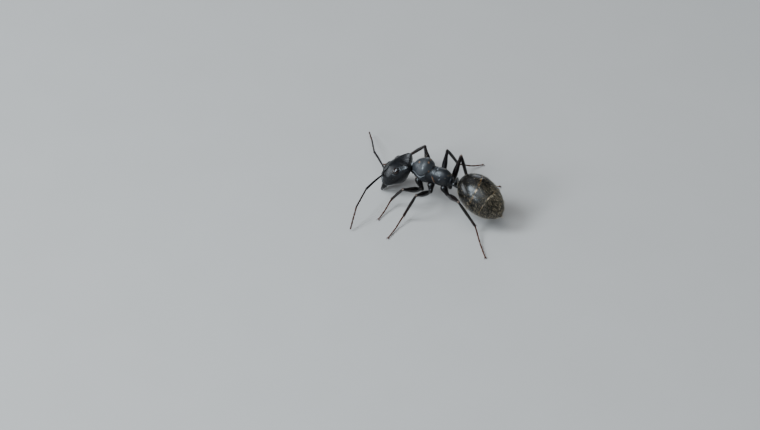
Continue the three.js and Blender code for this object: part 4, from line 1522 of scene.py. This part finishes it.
# %% Down and bristles on head and trunk
DOWN = {
    "head": {"per_mm2": 44, "length": 0.055, "radius": 0.0018, "rise": 14, "droop": 0.1},
    "trunk": {"per_mm2": 38, "length": 0.075, "radius": 0.0022, "rise": 14, "droop": 0.1},
    "scale": {"per_mm2": 30, "length": 0.09, "radius": 0.0026, "rise": 20, "droop": 0.1},
}
BRISTLES = {
    "head": {"per_mm2": 1.2, "length": 0.26, "radius": 0.0058, "rise": 60, "droop": 0.25},
    "trunk": {"per_mm2": 4.5, "length": 0.34, "radius": 0.0062, "rise": 62, "droop": 0.25},
    "scale": {"per_mm2": 14, "length": 0.3, "radius": 0.006, "rise": 55, "droop": 0.2},
}
body_skins = [("head", head_skin), ("trunk", prothorax_skin), ("trunk", mesothorax_skin),
              ("trunk", propodeum_skin), ("scale", scale_skin)]

body_down = Coat("head_and_trunk_down", brown_hair, len(body_skins))
for tile, (part, skin) in enumerate(body_skins):
    body_down.grow(skin, tile, random, **DOWN[part], tuft=2)
body_down.finish()

body_bristles = Coat("head_and_trunk_bristles", pale_hair, len(body_skins), bends=2)
for tile, (part, skin) in enumerate(body_skins):
    on_top = smooth(skin.outwards()[0][..., 2], 0.2, 0.8)
    body_bristles.grow(skin, tile, random, **BRISTLES[part], tuft=1, wanted=on_top)
body_bristles.finish()

# %% Hairs on legs and feelers
limb_skins = [skin for skins in [*leg_skins.values(), *feeler_skins.values()] for skin in skins]
limb_hairs = Coat("leg_and_feeler_hairs", brown_hair, len(limb_skins))
for tile, skin in enumerate(limb_skins):
    outer = float(np.mean(skin.marks["outer"]))
    limb_hairs.grow(skin, tile, random, per_mm2=30 + 130 * outer, length=0.11 - 0.05 * outer,
                    radius=0.0024, rise=22, droop=0.1, tuft=2)
limb_hairs.finish()

# %% [markdown]
# ## The camera
# The view looks down at 40 degrees from the ant's left, a little behind square, from
# 280 mm away with a long lens, and rolled by 5.5 degrees. The trunk's centre is put at
# its place in the view by moving the camera sideways, so no lens shift is needed.

# %% Directions round the ant
def direction_to(azimuth, elevation):
    """The unit direction to a place round the ant: azimuth from its front towards its left, and a rise."""
    a = math.radians(azimuth)
    e = math.radians(elevation)
    return np.array([math.sin(a) * math.cos(e), -math.cos(a) * math.cos(e), math.sin(e)])


def set_up(data, right, up, back, place):
    """An object for a camera or a lamp, turned by its three axes and put at a place in metres."""
    made = bpy.data.objects.new(data.name, data)
    matrix = Matrix.Identity(4)
    for column, axis in enumerate((right, up, back)):
        matrix.col[column][:3] = axis
    matrix.translation = place
    made.matrix_world = matrix
    bpy.context.scene.collection.objects.link(made)
    return made


# %% Camera
CAMERA = {"distance": 280.0, "azimuth": 110, "elevation": 40, "roll": 5.5, "mm_per_pixel": 0.0868}
PICTURE = (760, 430)
TRUNK_PIXEL = (432.4, 174.0)
SENSOR = 36.0


def make_camera():
    """A long lens whose focal length in pixels is distance over the millimetres in one pixel."""
    back = direction_to(CAMERA["azimuth"], CAMERA["elevation"])
    level = unit(np.cross([0, 0, 1], back))
    upright = np.cross(back, level)
    roll = math.radians(CAMERA["roll"])
    right = level * math.cos(roll) + upright * math.sin(roll)
    up = upright * math.cos(roll) - level * math.sin(roll)
    focal = CAMERA["distance"] / CAMERA["mm_per_pixel"]
    x = (TRUNK_PIXEL[0] - PICTURE[0] / 2) / focal
    y = -(TRUNK_PIXEL[1] - PICTURE[1] / 2) / focal
    place = from_trunk([0, 0, 0]) + SHIFT - CAMERA["distance"] * (x * right + y * up - back)
    data = bpy.data.cameras.new("camera")
    data.sensor_width = SENSOR
    data.lens = focal * SENSOR / PICTURE[0]
    data.clip_start = 0.01
    data.clip_end = 10
    camera = set_up(data, right, up, back, place * MM)
    bpy.context.scene.camera = camera
    return camera


camera = make_camera()
print("camera at", [round(v, 4) for v in camera.matrix_world.translation], "lens", round(camera.data.lens, 1))

# %% [markdown]
# ## Floor and light
# The ant stands on a plain pale floor. Black, glossy skin shows its shape by what it
# mirrors, so the lamps are soft ovals, each placed where one part of the skin mirrors it.
# The key and side lamps give the bluish glints on gaster, eye and shield. The wide low
# lamp in front gives the band before the eye, and the rim lamp the line along the head's
# top. The fill and top lamps are faint and broad, and a pale sky gives the rest.

# %% Floor
FLOOR_RADII = [1.0, 60.0, 400.0]
FLOOR_COLUMNS = 96


def make_pale_floor():
    """Matte pale grey with a hardly visible mottle."""
    graph = Graph("pale_floor")
    mottle = graph.noise(6)
    colour = graph.mixed(mottle, (0.43, 0.405, 0.38), (0.455, 0.43, 0.405))
    return graph.finish(Base_Color=colour, Roughness=0.9 + mottle * 0.08, Specular_IOR_Level=0.1)


def make_floor():
    """A wide flat disc: a fan of triangles in the middle and rings of quads round it."""
    around = circle(FLOOR_COLUMNS)
    radius = np.array(FLOOR_RADII)[:, None]
    rings = np.stack([radius * np.cos(around), radius * np.sin(around), 0 * radius + 0 * around], -1)
    points = np.concatenate([[[0, 0, 0]], rings.reshape(-1, 3)]) - SHIFT
    i, j = np.mgrid[0:len(FLOOR_RADII) - 1, 0:FLOOR_COLUMNS]
    here = 1 + j
    beside = 1 + (j + 1) % FLOOR_COLUMNS
    inner = i * FLOOR_COLUMNS
    outer = inner + FLOOR_COLUMNS
    quads = np.stack([inner + here, outer + here, outer + beside, inner + beside], -1).reshape(-1, 4)
    fan = np.stack([0 * here[0], here[0], beside[0]], -1)
    corners = np.concatenate([quads.ravel(), fan.ravel()])
    sizes = np.concatenate([np.full(len(quads), 4), np.full(len(fan), 3)])
    flat = points[corners][:, :2] / (2 * FLOOR_RADII[-1]) + 0.5
    mesh = fill_mesh("floor", points, corners, sizes, flat, {})
    mesh.materials.append(make_pale_floor())
    floor = bpy.data.objects.new("floor", mesh)
    bpy.context.scene.collection.objects.link(floor)
    floor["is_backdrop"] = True


make_floor()

# %% Lamps and sky
LAMPS = {
    "key_lamp": {"azimuth": 46, "elevation": 45, "size": (0.11, 0.12), "brightness": 27.0,
                 "colour": (0.76, 0.89, 1.0)},
    "side_lamp": {"azimuth": 66, "elevation": 24, "size": (0.08, 0.08), "brightness": 36.0,
                  "colour": (0.76, 0.89, 1.0)},
    "front_lamp": {"azimuth": 18, "elevation": 7.5, "size": (0.26, 0.07), "brightness": 8.0,
                   "colour": (0.88, 0.94, 1.0)},
    "rim_lamp": {"azimuth": -73, "elevation": 20, "size": (0.13, 0.07), "brightness": 5.0,
                 "colour": (0.84, 0.91, 1.0)},
    "fill_lamp": {"azimuth": -24, "elevation": 52, "size": (0.22, 0.22), "brightness": 0.9,
                  "colour": (0.86, 0.92, 1.0)},
    "top_lamp": {"azimuth": 82, "elevation": 64, "size": (0.24, 0.24), "brightness": 4.2,
                 "colour": (0.84, 0.93, 1.0)},
}
LAMP_DISTANCE = 0.3
LAMP_TARGET = np.array([0, 0, 0.003])
SKY = {"colour": (0.8, 0.86, 0.94, 1), "strength": 0.12}


def make_lamp(name, azimuth, elevation, size, brightness, colour):
    """An oval soft lamp aimed at the ant; its power is brightness × π² × width × height / 4."""
    data = bpy.data.lights.new(name, "AREA")
    data.shape = "ELLIPSE"
    data.size = size[0]
    data.size_y = size[1]
    data.energy = brightness * math.pi ** 2 * size[0] * size[1] / 4
    data.color = colour
    back = direction_to(azimuth, elevation)
    right = unit(np.cross([0, 0, 1], back))
    set_up(data, right, np.cross(back, right), back, back * LAMP_DISTANCE + LAMP_TARGET)


for name, lamp in LAMPS.items():
    make_lamp(name, **lamp)
world = bpy.data.worlds.new("pale_sky")
world.use_nodes = True
sky = world.node_tree.nodes["Background"]
sky.inputs["Color"].default_value = SKY["colour"]
sky.inputs["Strength"].default_value = SKY["strength"]
bpy.context.scene.world = world
print("lamps:", ", ".join(LAMPS))

# %% [markdown]
# ## Measuring the result
# Both boxes, the solid's and the visual model's, are written down here.

# %% Both boxes
model_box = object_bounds()
boxes = {"cad": [list(corner) for corner in cad_box], "visual": [list(corner) for corner in model_box]}
for kind, (low, high) in boxes.items():
    print(kind, "box in mm:", [round(v / MM, 3) for v in low], [round(v / MM, 3) for v in high])
